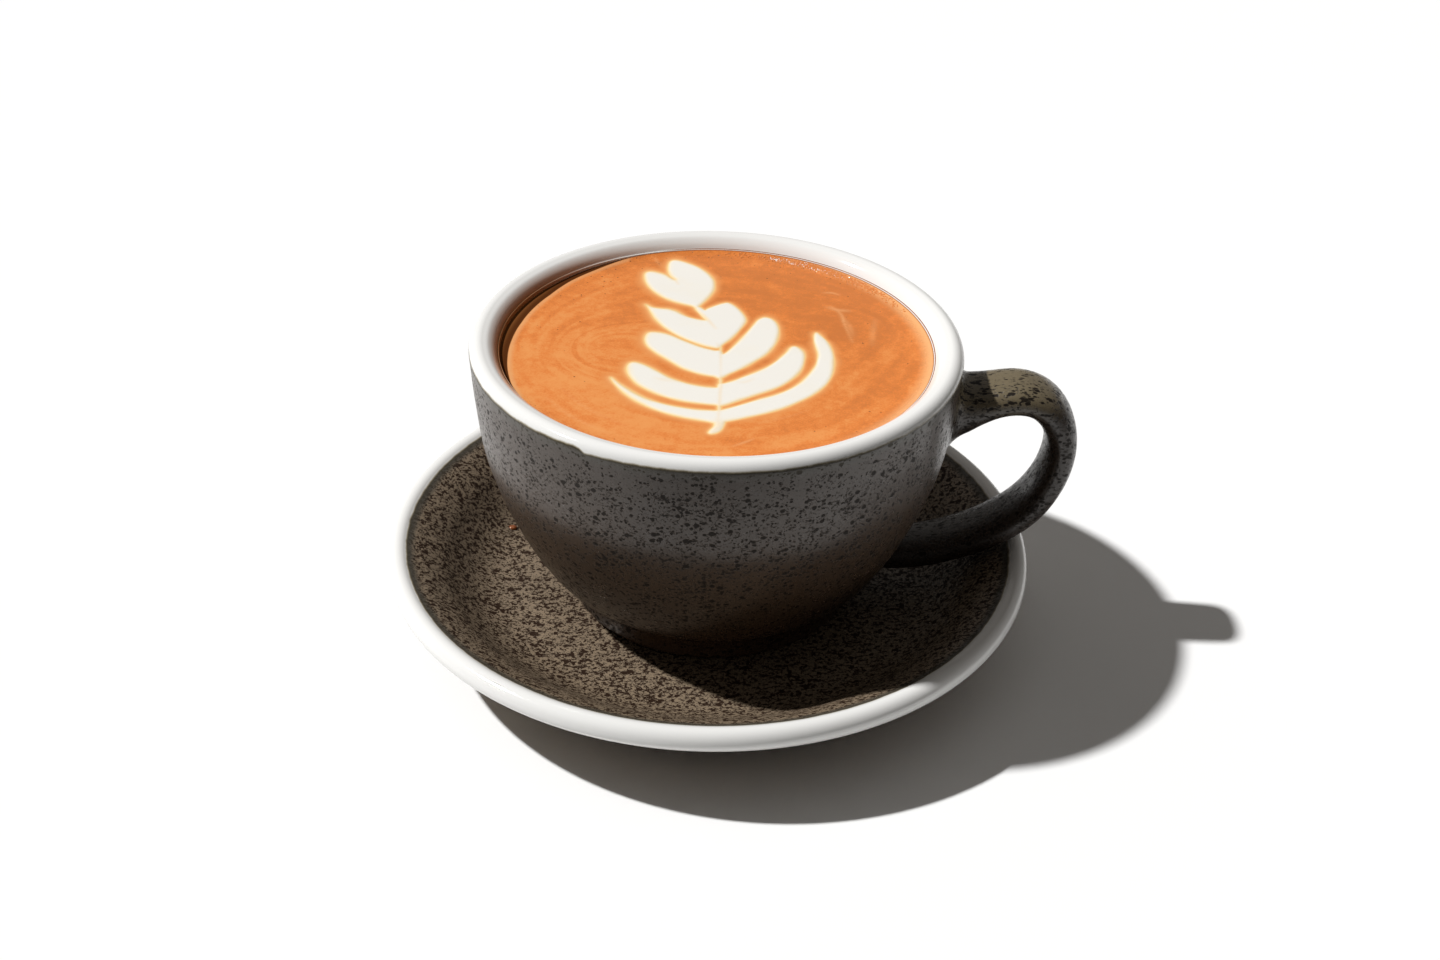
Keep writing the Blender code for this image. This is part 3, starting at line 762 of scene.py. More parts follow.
def finish_glaze(tree, surface, place, colour, specks, line, satin, painted_crema_reflection=0.0):
    """Feeds colour, roughness and relief of a glaze that is white before its edge and satin past it."""
    outside = add_step(tree, line, -0.3, 0.8)
    tree.links.new(colour, surface.inputs["Base Color"])
    sheen = add_math(tree, "ADD", add_math(tree, "MULTIPLY", add_noise(tree, place, 500.0), 0.12), satin)
    matt = add_math(tree, "ADD", sheen, add_math(tree, "MULTIPLY", specks, 0.25))
    # Where the crema's reflection is painted on the inner wall, the white glaze is rougher and less shiny.
    rough = add_node(tree, "ShaderNodeMix", {0: outside, 2: add_math(tree, "ADD", add_math(tree, "MULTIPLY", painted_crema_reflection, 0.5),
                                                                     0.07), 3: matt})
    tree.links.new(rough.outputs[0], surface.inputs["Roughness"])
    gloss = add_math(tree, "SUBTRACT", 0.60, add_math(tree, "MULTIPLY", specks, 0.45))
    smooth = add_math(tree, "SUBTRACT", 0.5, add_math(tree, "MULTIPLY", painted_crema_reflection, 0.45))
    level = add_node(tree, "ShaderNodeMix", {0: outside, 2: smooth, 3: gloss})
    tree.links.new(level.outputs[0], surface.inputs["Specular IOR Level"])
    relief = use_group(tree, shared_group("Glaze relief", relief_group), {"Place": place})
    raised = add_math(tree, "SUBTRACT", relief.outputs["Height"], add_math(tree, "MULTIPLY", specks, 0.45))
    height = add_math(tree, "MULTIPLY", raised, add_math(tree, "ADD", add_math(tree, "MULTIPLY", outside, 0.95), 0.05))
    bump = add_node(tree, "ShaderNodeBump", {"Height": height, "Strength": 0.6, "Distance": 0.00016})
    tree.links.new(bump.outputs["Normal"], surface.inputs["Normal"])


def speckled(tree, settings, place, stretched, denser):
    """Taupe glaze with ragged dark specks of several sizes, and the mask of the specks."""
    mottle = shared_group("Glaze mottling", mottle_group)
    height = add_node(tree, "ShaderNodeSeparateXYZ", {"Vector": place}).outputs["Z"]
    cloud = add_math(tree, "MULTIPLY", add_noise(tree, place, 60.0, 3.0, 0.6), 0.03)
    warm = add_step(tree, add_math(tree, "SUBTRACT", height, cloud), 0.066, 0.006)
    ground = add_mix(tree, warm, settings.taupe,
                     [part * tint for part, tint in zip(settings.taupe, (1.16, 0.97, 0.80))])
    swing = add_math(tree, "MULTIPLY", add_math(tree, "SUBTRACT", add_noise(tree, place, 130.0, 2.0), 0.5), 0.16)
    shift = add_math(tree, "ADD", swing, denser)
    masks = []
    for scale, size, share in ((640.0, 0.34, 0.34), (1150.0, 0.36, 0.50)):
        dots = use_group(tree, shared_group("Glaze specks", speck_group),
                         {"Place": stretched, "Scale": scale, "Size": size, "Raggedness": 0.35,
                          "Share": add_math(tree, "ADD", add_math(tree, "MULTIPLY", shift, 4.0), share)})
        masks.append(add_math(tree, "MULTIPLY", dots.outputs["Mask"], 0.9))
    for scale, level, softness, strength in ((800.0, 0.620, 0.025, 0.85), (1650.0, 0.605, 0.040, 0.70)):
        spots = use_group(tree, mottle, {"Place": stretched, "Scale": scale, "Softness": softness,
                                         "Level": add_math(tree, "SUBTRACT", level, shift)})
        masks.append(add_math(tree, "MULTIPLY", spots.outputs["Mask"], strength))
    both = masks[0]
    for mask in masks[1:]:
        both = add_math(tree, "MAXIMUM", both, mask)
    return add_mix(tree, both, ground, settings.speck), both


def cup_material(settings):
    """Satin taupe glaze with dark specks outside, and glossy white inside with a painted reflection of the crema on the
    shaded wall just above the drink.
    """
    material, tree, surface = new_material("cup_glaze")
    place = object_place(tree)
    line = kept_value(tree, "glaze_line")
    thinning = add_math(tree, "MULTIPLY", add_step(tree, line, 9.0, 1.0), -0.030)
    dark, specks = speckled(tree, settings, place, object_place(tree, (0.9, 0.9, 1.1)), thinning)
    # Painted reflection of the crema: brown on the shaded inner wall just above the drink.
    colour = add_mix(tree, kept_value(tree, "painted_crema_reflection"), glaze_edge(tree, place, line, settings.white, dark),
                     (0.40, 0.165, 0.050))
    finish_glaze(tree, surface, place, colour, specks, line, 0.23, kept_value(tree, "painted_crema_reflection"))
    return material


def handle_material(settings):
    """The cup's taupe glaze, with its specks drawn out along the handle; painted light makes its top paler and
    yellower, and painted shade makes the rest a darker taupe.
    """
    material, tree, surface = new_material("handle_glaze")
    place = object_place(tree)
    line = kept_value(tree, "glaze_line")
    dark, specks = speckled(tree, settings, place, object_place(tree, (0.55, 1.3, 1.0)), 0.0)
    height = add_node(tree, "ShaderNodeSeparateXYZ", {"Vector": place}).outputs["Z"]
    # Painted light and shade: the handle's top, which the key light reaches, is paler and yellower, and below it a
    # darker copy of the taupe stands for the shaded band.
    painted_lit_top = add_mix(tree, specks, (0.165, 0.132, 0.080), settings.speck)
    colour = add_mix(tree, add_step(tree, height, 0.057, 0.064), [part * 0.65 for part in settings.taupe], painted_lit_top)
    colour = add_mix(tree, specks, colour, settings.speck)
    finish_glaze(tree, surface, place, colour, specks, line, 0.22)
    return material


def saucer_material(settings):
    """Satin taupe glaze thick with brown mottling, and glossy white on the bead."""
    material, tree, surface = new_material("saucer_glaze")
    place = object_place(tree)
    line = kept_value(tree, "glaze_line")
    mottle = shared_group("Glaze mottling", mottle_group)
    stretched = object_place(tree, (0.92, 1.10, 1.0))
    masks = []
    for scale, level, softness, strength in ((700.0, 0.570, 0.012, 1.0), (1250.0, 0.545, 0.015, 1.0),
                                             (2300.0, 0.560, 0.030, 0.80)):
        spots = use_group(tree, mottle, {"Place": stretched, "Scale": scale, "Softness": softness, "Level": level})
        masks.append(add_math(tree, "MULTIPLY", spots.outputs["Mask"], strength))
    both = add_math(tree, "MAXIMUM", add_math(tree, "MAXIMUM", masks[0], masks[1]), masks[2])
    cloud = add_step(tree, add_noise(tree, place, 60.0), 0.35, 0.70)
    ground = add_mix(tree, add_math(tree, "MULTIPLY", cloud, 0.35), settings.taupe,
                     [part * 0.75 for part in settings.taupe])
    dark = add_mix(tree, both, ground, settings.mottle)
    finish_glaze(tree, surface, place, glaze_edge(tree, place, line, settings.white, dark), both, line, 0.30)
    return material


def shore_scale(tree, place):
    """How quickly foam and crema blend across the leaf's outline: softer on the side away from the handle."""
    noise = add_math(tree, "MULTIPLY", add_noise(tree, place, 170.0, 2.0), 1.9)
    side = add_node(tree, "ShaderNodeSeparateXYZ", {"Vector": place})
    softer = add_math(tree, "MULTIPLY", add_step(tree, side.outputs["X"], 0.0, -0.024), 0.55)
    return add_math(tree, "ADD", add_math(tree, "ADD", noise, softer), 0.25)


def crema_material(settings):
    """Wet crema with flowing streaks, paler where it meets the foam, with a painted lip shadow, painted light along the
    wall and painted glints.
    """
    material, tree, surface = new_material("coffee")
    place = object_place(tree)
    flow = add_node(tree, "ShaderNodeAttribute", attribute_name="flow").outputs["Vector"]
    to_wall = kept_value(tree, "to_wall")
    broad = add_noise(tree, flow, 0.85, 1.5, 0.45, 0.35)
    patchy = add_noise(tree, place, 150.0, 4.0, 0.62)
    spotty = add_noise(tree, place, 650.0, 3.0, 0.6)
    grain = add_noise(tree, place, 2400.0, 2.0, 0.7)
    streak = add_math(tree, "ADD", add_math(tree, "MULTIPLY", broad, 0.50), add_math(tree, "MULTIPLY", patchy, 0.50))
    streak = add_math(tree, "ADD", streak, add_math(tree, "MULTIPLY", add_math(tree, "SUBTRACT", spotty, 0.5), 0.36))
    streak = add_math(tree, "ADD", streak, add_math(tree, "MULTIPLY", add_math(tree, "SUBTRACT", grain, 0.5), 0.42))
    streak = add_math(tree, "SUBTRACT", streak,
                      add_math(tree, "MULTIPLY", add_math(tree, "SUBTRACT", kept_value(tree, "deep_side"), 0.42), 0.26))
    body = add_ramp(tree, add_step(tree, streak, 0.24, 0.74),
                    ((0.0, settings.crema_dark), (0.5, settings.crema), (1.0, settings.crema_pale)))
    body = add_mix(tree, kept_value(tree, "wisp"), body, (0.88, 0.43, 0.175))
    pores = use_group(tree, shared_group("Glaze specks", speck_group),
                      {"Place": place, "Scale": 1250.0, "Size": 0.22, "Raggedness": 0.1,
                       "Share": add_math(tree, "MULTIPLY", kept_value(tree, "froth"), 0.42)})
    body = add_mix(tree, add_math(tree, "MULTIPLY", pores.outputs["Mask"], 0.75), body, (0.15, 0.045, 0.010))
    # Painted light: paler crema near the wall on the side where the key light falls on it.
    painted_wall_light = add_math(tree, "MULTIPLY", add_step(tree, to_wall, 4.0, 0.6), kept_value(tree, "painted_light_side"))
    body = add_mix(tree, add_math(tree, "MULTIPLY", painted_wall_light, 0.85), body, (0.86, 0.45, 0.195))
    shore = add_math(tree, "DIVIDE", kept_value(tree, "shore"), shore_scale(tree, place))
    halo = add_ramp(tree, add_step(tree, shore, -0.30, 0.85),
                    ((0.0, settings.foam_edge), (0.30, (0.90, 0.52, 0.21)), (0.60, (0.85, 0.37, 0.125)),
                     (1.0, (0.80, 0.30, 0.085))))
    away = add_step(tree, shore, 0.30, 1.7)
    colour = add_mix(tree, away, halo, body)
    # Painted shadow of the lip on the crema: dark crema past the shadow's edge, darkest near that edge.
    lip_shadow = kept_value(tree, "lip_shadow")
    # Painted light: paler crema in a band just inside the edge of the painted lip shadow.
    painted_lit_border = add_math(tree, "MULTIPLY", add_step(tree, lip_shadow, -1.6, -0.3), 0.55)
    colour = add_mix(tree, painted_lit_border, colour, (0.80, 0.43, 0.19))
    dark = add_step(tree, lip_shadow, -0.15, 0.10)
    colour = add_mix(tree, dark, colour, add_ramp(tree, add_step(tree, lip_shadow, 0.6, 2.6),
                                                  ((0.0, (0.085, 0.026, 0.007)), (1.0, (0.20, 0.075, 0.022)))))
    # The crema is darker in a thin line along the wall, except inside the painted lip shadow.
    clear_of_wall_line = add_step(tree, to_wall, 0.10, 0.60)
    colour = add_mix(tree, add_math(tree, "MAXIMUM", clear_of_wall_line, dark), [part * 0.42 for part in settings.crema_dark],
                     colour)
    # Painted glints: white specks on the crema near the wall at the back right, where the light glints on froth.
    painted_glint_specks = use_group(tree, shared_group("Glaze mottling", mottle_group),
                       {"Place": place, "Scale": 1500.0, "Softness": 0.02,
                        "Level": add_math(tree, "SUBTRACT", 0.84, add_math(tree, "MULTIPLY",
                                                                           kept_value(tree, "glints"), 0.33))})
    colour = add_mix(tree, painted_glint_specks.outputs["Mask"], colour, (0.93, 0.90, 0.86))
    tree.links.new(colour, surface.inputs["Base Color"])
    froth = add_math(tree, "MULTIPLY", add_step(tree, to_wall, 3.4, 1.0), add_step(tree, lip_shadow, -0.5, -3.0))
    rough = add_math(tree, "SUBTRACT", add_math(tree, "ADD", add_math(tree, "MULTIPLY", grain, 0.2), 0.34),
                     add_math(tree, "MULTIPLY", froth, 0.26))
    tree.links.new(rough, surface.inputs["Roughness"])
    tree.links.new(add_math(tree, "MULTIPLY", add_step(tree, lip_shadow, 0.0, -0.6), 0.32),
                   surface.inputs["Specular IOR Level"])
    film = add_node(tree, "ShaderNodeTexVoronoi", {"Vector": place, "Scale": 2100.0}, feature="SMOOTH_F1")
    height = add_math(tree, "SUBTRACT", add_math(tree, "MULTIPLY", grain, 0.45),
                      add_math(tree, "MULTIPLY", pores.outputs["Mask"], 1.5))
    height = add_math(tree, "SUBTRACT", height,
                      add_math(tree, "MULTIPLY", film.outputs["Distance"], add_math(tree, "MULTIPLY", froth, 1.6)))
    bump = add_node(tree, "ShaderNodeBump", {"Height": height, "Strength": 0.5, "Distance": 0.00010})
    tree.links.new(bump.outputs["Normal"], surface.inputs["Normal"])
    return material


def foam_material(settings):
    """Fine milk foam, cream at its edge and along its folds."""
    material, tree, surface = new_material("milk_foam")
    place = object_place(tree)
    depth = add_math(tree, "DIVIDE", kept_value(tree, "depth"), shore_scale(tree, place))
    edge = add_ramp(tree, add_step(tree, depth, -0.30, 1.05),
                    ((0.0, (0.90, 0.54, 0.24)), (0.14, settings.foam_edge), (0.36, (0.94, 0.76, 0.50)),
                     (0.62, (0.93, 0.86, 0.71)), (1.0, settings.foam)))
    warm = add_math(tree, "MULTIPLY", add_step(tree, add_noise(tree, place, 120.0), 0.52, 0.80), 0.22)
    colour = add_mix(tree, warm, edge, (0.92, 0.83, 0.66))
    colour = add_mix(tree, add_math(tree, "MULTIPLY", kept_value(tree, "fold"), 0.6), colour, (0.92, 0.69, 0.40))
    tree.links.new(colour, surface.inputs["Base Color"])
    surface.inputs["Roughness"].default_value = 0.38
    height = add_noise(tree, place, 2600.0, 2.0)
    bump = add_node(tree, "ShaderNodeBump", {"Height": height, "Strength": 0.15, "Distance": 0.00006})
    tree.links.new(bump.outputs["Normal"], surface.inputs["Normal"])
    return material


def bubble_material(settings):
    """Glossy film of small bubbles, in the crema's pale colour."""
    material, tree, surface = new_material("bubble_film")
    place = object_place(tree)
    tint = add_mix(tree, add_noise(tree, place, 300.0), settings.crema, settings.crema_pale)
    tree.links.new(tint, surface.inputs["Base Color"])
    surface.inputs["Roughness"].default_value = 0.06
    surface.inputs["Coat Weight"].default_value = 1.0
    surface.inputs["Coat Roughness"].default_value = 0.03
    return material


def drop_material():
    """A drop of black coffee, amber and clear enough to glint."""
    material, tree, surface = new_material("coffee_drop")
    tint = add_mix(tree, add_noise(tree, object_place(tree), 900.0), (0.10, 0.022, 0.006), (0.34, 0.10, 0.025))
    tree.links.new(tint, surface.inputs["Base Color"])
    surface.inputs["Roughness"].default_value = 0.05
    surface.inputs["Coat Weight"].default_value = 1.0
    return material


def floor_material(settings):
    """Plain pale floor; out of the picture in front it sends little light back to the cup."""
    material, tree, surface = new_material("floor")
    place = add_node(tree, "ShaderNodeSeparateXYZ", {"Vector": object_place(tree)})
    front = add_node(tree, "ShaderNodeMapRange", {"Value": place.outputs["Y"], "From Min": -0.16, "From Max": -0.11,
                                                  "To Min": settings.front_share, "To Max": 1.0},
                     interpolation_type="SMOOTHSTEP").outputs["Result"]
    seen = add_node(tree, "ShaderNodeLightPath").outputs["Is Camera Ray"]
    share = add_math(tree, "MAXIMUM", seen, front)
    colour = add_mix(tree, share, (0.0, 0.0, 0.0), settings.floor_colour)
    tree.links.new(colour, surface.inputs["Base Color"])
    surface.inputs["Roughness"].default_value = 0.9
    surface.inputs["Specular IOR Level"].default_value = 0.1
    return material


# Pieces

def make_cup_body(settings):
    """The cup's bowl with its lip and foot."""
    profile = cup_profile()
    body = turned_piece("cup_body", profile, CUP_AXIS, settings.segments)
    along, stations = distance_along(body, CUP_AXIS, profile)
    edge_height = RIM_HEIGHT - settings.glaze_edge
    lip_top = max(range(len(profile)), key=lambda index: profile[index][1])
    edge = next(index for index in range(lip_top, len(profile)) if profile[index][1] < edge_height)
    places = vertex_places(body)
    bearing = np.degrees(np.arctan2(places[:, 1] - CUP_AXIS.y, places[:, 0] - CUP_AXIS.x))
    run = 0.45 * np.tanh((bearing - DRIP_BEARING) / 0.7) * np.exp(-((bearing - DRIP_BEARING) / 9) ** 2)
    keep_value(body, "glaze_line", along - stations[edge] - run)
    radius = np.hypot(places[:, 0] - CUP_AXIS.x, places[:, 1] - CUP_AXIS.y)
    # Painted reflection of the crema: on the inner wall just above the drink, on the key light's side, which lies in
    # shade.
    low_side = np.exp(-(np.abs((bearing - LOW_SIDE + 180) % 360 - 180) / 50) ** 4)
    above = np.maximum(places[:, 2] - DRINK_LEVEL, 0.0) / MM
    inner = (radius < DRINK_RADIUS + 2.2 * MM) & (places[:, 2] > DRINK_LEVEL - 5 * MM)
    keep_value(body, "painted_crema_reflection", np.where(inner, low_side * np.exp(-(above / 2.6) ** 4), 0.0))
    return body


def handle_stations(flares):
    """Rings of the handle: middle, half the thickness as a vector, and distance from the wall at its end."""
    outer = np.array([tuple(point) for point in smooth_line(HANDLE_OUTER, 16)])
    inner = np.array([tuple(point) for point in smooth_line(HANDLE_INNER, 16)])
    middle, half = (outer + inner) / 2, (outer - inner) / 2
    along = np.concatenate(([0.0], np.cumsum(np.linalg.norm(np.diff(middle, axis=0), axis=1))))
    clear = middle[:, 0] - wall_radius(middle[:, 1])
    outside = np.flatnonzero(clear > 0)
    start, end = along[outside[0]], along[outside[-1]]
    upper, lower = flares
    turns = np.linspace(0.0, math.pi / 2, 9)
    first = start + upper * (1 - np.cos(turns))
    last = end - lower * (1 - np.cos(turns))[::-1]
    between = np.linspace(first[-1], last[0], 66)[1:-1]
    stations = np.concatenate(([start - 1.5 * MM], first, between, last, [end + 1.5 * MM]))
    rings = []
    for station in stations:
        spot = np.array([np.interp(station, along, middle[:, k]) for k in range(2)])
        reach = np.array([np.interp(station, along, half[:, k]) for k in range(2)])
        rings.append((spot, reach, station - start, end - station))
    return rings


def wall_radius(height):
    """Radius of the cup's outside at a height."""
    line = np.array([tuple(point) for point in cup_outside()])
    return np.interp(height, line[::-1, 1], line[::-1, 0])


def flare_at(distance, flare):
    """How much wider the handle is at a distance from the wall: a quarter circle that meets the wall."""
    left = min(max(1.0 - distance / flare, 0.0), 1.0)
    return flare * (1.0 - math.sqrt(1.0 - left ** 2))


def handle_ring(spot, reach, from_start, from_end, settings, sides):
    """The points of one ring of the handle, laid on the wall where it meets it."""
    flares = (settings.upper_flare, settings.lower_flare)
    distance, flare = min((from_start, flares[0]), (from_end, flares[1]))
    grow = flare_at(distance, flare)
    thickness = np.linalg.norm(reach)
    blend = min(max(1.0 - distance / (2.5 * flare), 0.0), 1.0)
    blend = blend * blend * (3 - 2 * blend)
    points = []
    for side in range(sides):
        angle = WHOLE_TURN * side / sides
        across, out = (math.copysign(abs(part) ** (2 / HANDLE_SQUARENESS), part)
                       for part in (math.sin(angle), math.cos(angle)))
        x, z = spot + reach * out * (1 + grow / thickness)
        y = across * (settings.handle_width / 2 + grow)
        z = max(z, FOOT_TOP + 0.2 * MM)
        on_wall = math.sqrt(max((wall_radius(z) + distance) ** 2 - y ** 2, 0.0))
        x = x + (on_wall - x) * blend
        points.append(CUP_AXIS + Vector((x, y, z)))
    return points


def make_handle(settings):
    """The handle's band, flared where it meets the cup's wall."""
    sides = 40
    shape = bmesh.new()
    rings = []
    for station in handle_stations((settings.upper_flare, settings.lower_flare)):
        rings.append([shape.verts.new(point) for point in handle_ring(*station, settings, sides)])
    for ring, following in zip(rings, rings[1:]):
        for side in range(sides):
            after = (side + 1) % sides
            shape.faces.new((ring[side], ring[after], following[after], following[side]))
    shape.faces.new(rings[0])
    shape.faces.new(rings[-1])
    bmesh.ops.recalc_face_normals(shape, faces=shape.faces)
    mesh = bpy.data.meshes.new("cup_handle")
    shape.to_mesh(mesh)
    shape.free()
    handle = bpy.data.objects.new("cup_handle", mesh)
    bpy.context.scene.collection.objects.link(handle)
    mesh.shade_smooth()
    keep_value(handle, "glaze_line", np.full(len(mesh.vertices), 20.0))
    return handle


def make_saucer(settings):
    """The saucer, with its white bead between the dark top and the dark underside."""
    profile = saucer_profile()
    saucer = turned_piece("saucer_body", profile, SAUCER_AXIS, settings.segments)
    along, stations = distance_along(saucer, SAUCER_AXIS, profile)
    top_edge = next(index for index in range(len(profile)) if profile[index][0] > settings.glaze_edge)
    under_edge = next(index for index in range(top_edge + 20, len(profile))
                      if profile[index][0] < BEAD_CENTRE[0] - 0.2 * MM)
    keep_value(saucer, "glaze_line", np.maximum(stations[top_edge] - along, along - stations[under_edge]))
    return saucer


def drink_profile(rings):
    """The drink's profile: a level top, then down inside the wall."""
    edge = DRINK_RADIUS + WALL_OVERLAP
    radii = np.concatenate((np.linspace(0.0, edge - COLLAR_REACH, rings),
                            edge - COLLAR_REACH + COLLAR_REACH * np.linspace(0.0, 1.0, 25)[1:]))
    side = smooth_line(CUP_INSIDE, 3)
    below = [Vector((point[0] + 0.1 * MM, point[1])) for point in side if point[1] < DRINK_LEVEL - 0.5 * MM][::-1]
    return ([Vector((radius, DRINK_LEVEL)) for radius in radii] + below
            + [Vector((0.0, CUP_FLOOR + 0.1 * MM))])


def collar_rise(centred, radius, bearing):
    """How far the drink climbs the wall, in millimetres: froth holds it up but for the side away from the handle."""
    low_side = np.exp(-(np.abs((bearing - LOW_SIDE + 180) % 360 - 180) / 52) ** 4)
    top = (WATERLINE - DRINK_LEVEL) / MM * (1.0 - 0.85 * low_side)
    from_wall = np.maximum((DRINK_RADIUS + WALL_OVERLAP) / MM - radius, 0.0)
    return 1.10 * top * np.exp(-from_wall / 1.9)


def leaf_solid(name, floor, top):
    """The whole leaf as one upright-sided solid."""
    first, *others = [petal_solid(petal, floor, top) for petal in PETALS]
    first.name = name
    return combine(first, "UNION", others)


def leaf_shore(leaf):
    """The leaf's outline, as the starts and ends of its short upper edges."""
    top = max(vertex.co.z for vertex in leaf.data.vertices) - 1e-6
    sharp = {}
    for face in leaf.data.polygons:
        for key in face.edge_keys:
            sharp.setdefault(key, []).append(abs(face.normal.z) > 0.5)
    places = [vertex.co.copy() for vertex in leaf.data.vertices]
    edges = [key for key, flats in sharp.items() if any(flats) and not all(flats)
             and places[key[0]].z > top and places[key[1]].z > top]
    return [places[a] for a, b in edges], [places[b] for a, b in edges]


def inside_leaf(places, starts, ends):
    """Which places lie inside the leaf's outline, by counting crossings of a line to one side."""
    starts, ends = np.asarray(starts)[:, :2], np.asarray(ends)[:, :2]
    inside = np.zeros(len(places), int)
    for (ax, ay), (bx, by) in zip(starts, ends):
        spans = (ay > places[:, 1]) != (by > places[:, 1])
        crossing = ax + (places[:, 1] - ay) / ((by - ay) or 1e-12) * (bx - ax)
        inside += spans & (places[:, 0] < crossing)
    return inside % 2 == 1


def refine(piece, near):
    """Halves the faces whose vertices are all chosen."""
    deselect_all()
    piece.select_set(True)
    bpy.context.view_layer.objects.active = piece
    for kind in (piece.data.vertices, piece.data.edges, piece.data.polygons):
        kind.foreach_set("select", np.zeros(len(kind), bool))
    faces = piece.data.polygons
    starts, totals = np.empty(len(faces), int), np.empty(len(faces), int)
    faces.foreach_get("loop_start", starts)
    faces.foreach_get("loop_total", totals)
    corners = np.empty(len(piece.data.loops), int)
    piece.data.loops.foreach_get("vertex_index", corners)
    chosen = np.add.reduceat(near[corners].astype(int), starts) == totals
    faces.foreach_set("select", chosen)
    bpy.ops.object.mode_set(mode="EDIT")
    bpy.ops.mesh.select_mode(type="FACE")
    bpy.ops.mesh.subdivide(number_cuts=1)
    bpy.ops.mesh.select_mode(type="VERT")
    bpy.ops.object.mode_set(mode="OBJECT")


def shore_distance(places, shore):
    """Distance outside the leaf's outline in millimetres, below zero inside it."""
    away = distance_to_lines(places, *shore) / MM
    return np.where(inside_leaf(places, *shore), -away, away)


def make_crema(settings, shore):
    """The drink, with the values that its streaks, froth and halo follow, and those of its painted lip shadow, painted
    light and painted glints.
    """
    crema = turned_piece("crema", drink_profile(settings.rings), CUP_AXIS, settings.segments)
    places = vertex_places(crema)
    on_top = places[:, 2] > DRINK_LEVEL - 0.2 * MM
    refine(crema, on_top & (np.abs(shore_distance(places, shore)) < 0.9))
    places = vertex_places(crema)
    centred = (places - np.array(CUP_AXIS))[:, :2] / MM
    radius = np.hypot(centred[:, 0], centred[:, 1])
    bearing = np.degrees(np.arctan2(centred[:, 1], centred[:, 0]))
    rise = np.where(places[:, 2] > DRINK_LEVEL - 0.2 * MM, collar_rise(centred, radius, bearing), 0.0)
    places[:, 2] += rise * MM
    crema.data.vertices.foreach_set("co", places.ravel())
    crema.data.update()
    keep_value(crema, "shore", shore_distance(places, shore))
    keep_value(crema, "to_wall", DRINK_RADIUS / MM + 0.15 - radius)
    keep_value(crema, "wisp", stroke_value(places, WISPS))
    stream = radius.copy()
    for place, reach, strength in CURLS:
        gap = np.hypot(centred[:, 0] - place[0], centred[:, 1] - place[1])
        stream -= strength * reach * np.exp(-gap ** 2 / (2 * reach ** 2))
    flow = np.column_stack((stream * 0.30, centred[:, 0] * 0.045, centred[:, 1] * 0.045))
    attribute = crema.data.attributes.new("flow", "FLOAT_VECTOR", "POINT")
    attribute.data.foreach_set("vector", flow.astype(np.float32).ravel())
    behind = np.exp(-((bearing - 125) / 38) ** 2) + 0.7 * np.exp(-((bearing - 60) / 26) ** 2)
    keep_value(crema, "froth", np.clip(behind * np.clip((radius - 36) / 10, 0, 1) + 0.04, 0, 1))
    # Painted light: the side of the wall where paler crema is painted.
    keep_value(crema, "painted_light_side", np.exp(-((bearing - 5) / 58) ** 4))
    # Painted shadow of the lip: how far each vertex lies past the painted shadow's edge, in millimetres.
    turn = np.where(bearing < 0, bearing + 360, bearing)
    edges = np.array(LIP_SHADOW_EDGE, float)
    keep_value(crema, "lip_shadow", radius - np.interp(turn, edges[:, 0], edges[:, 1], left=60, right=60))
    # Painted glints: the band near the wall where white glint specks are painted.
    glints = np.exp(-((bearing - 62) / 15) ** 2) * np.exp(-((DRINK_RADIUS / MM - 1.3 - radius) / 0.95) ** 2)
    keep_value(crema, "glints", np.clip(1.8 * glints, 0, 1))
    keep_value(crema, "deep_side", np.clip(0.5 + (centred[:, 0] * 0.6 + centred[:, 1] * 0.8) / 80, 0, 1))
    return crema


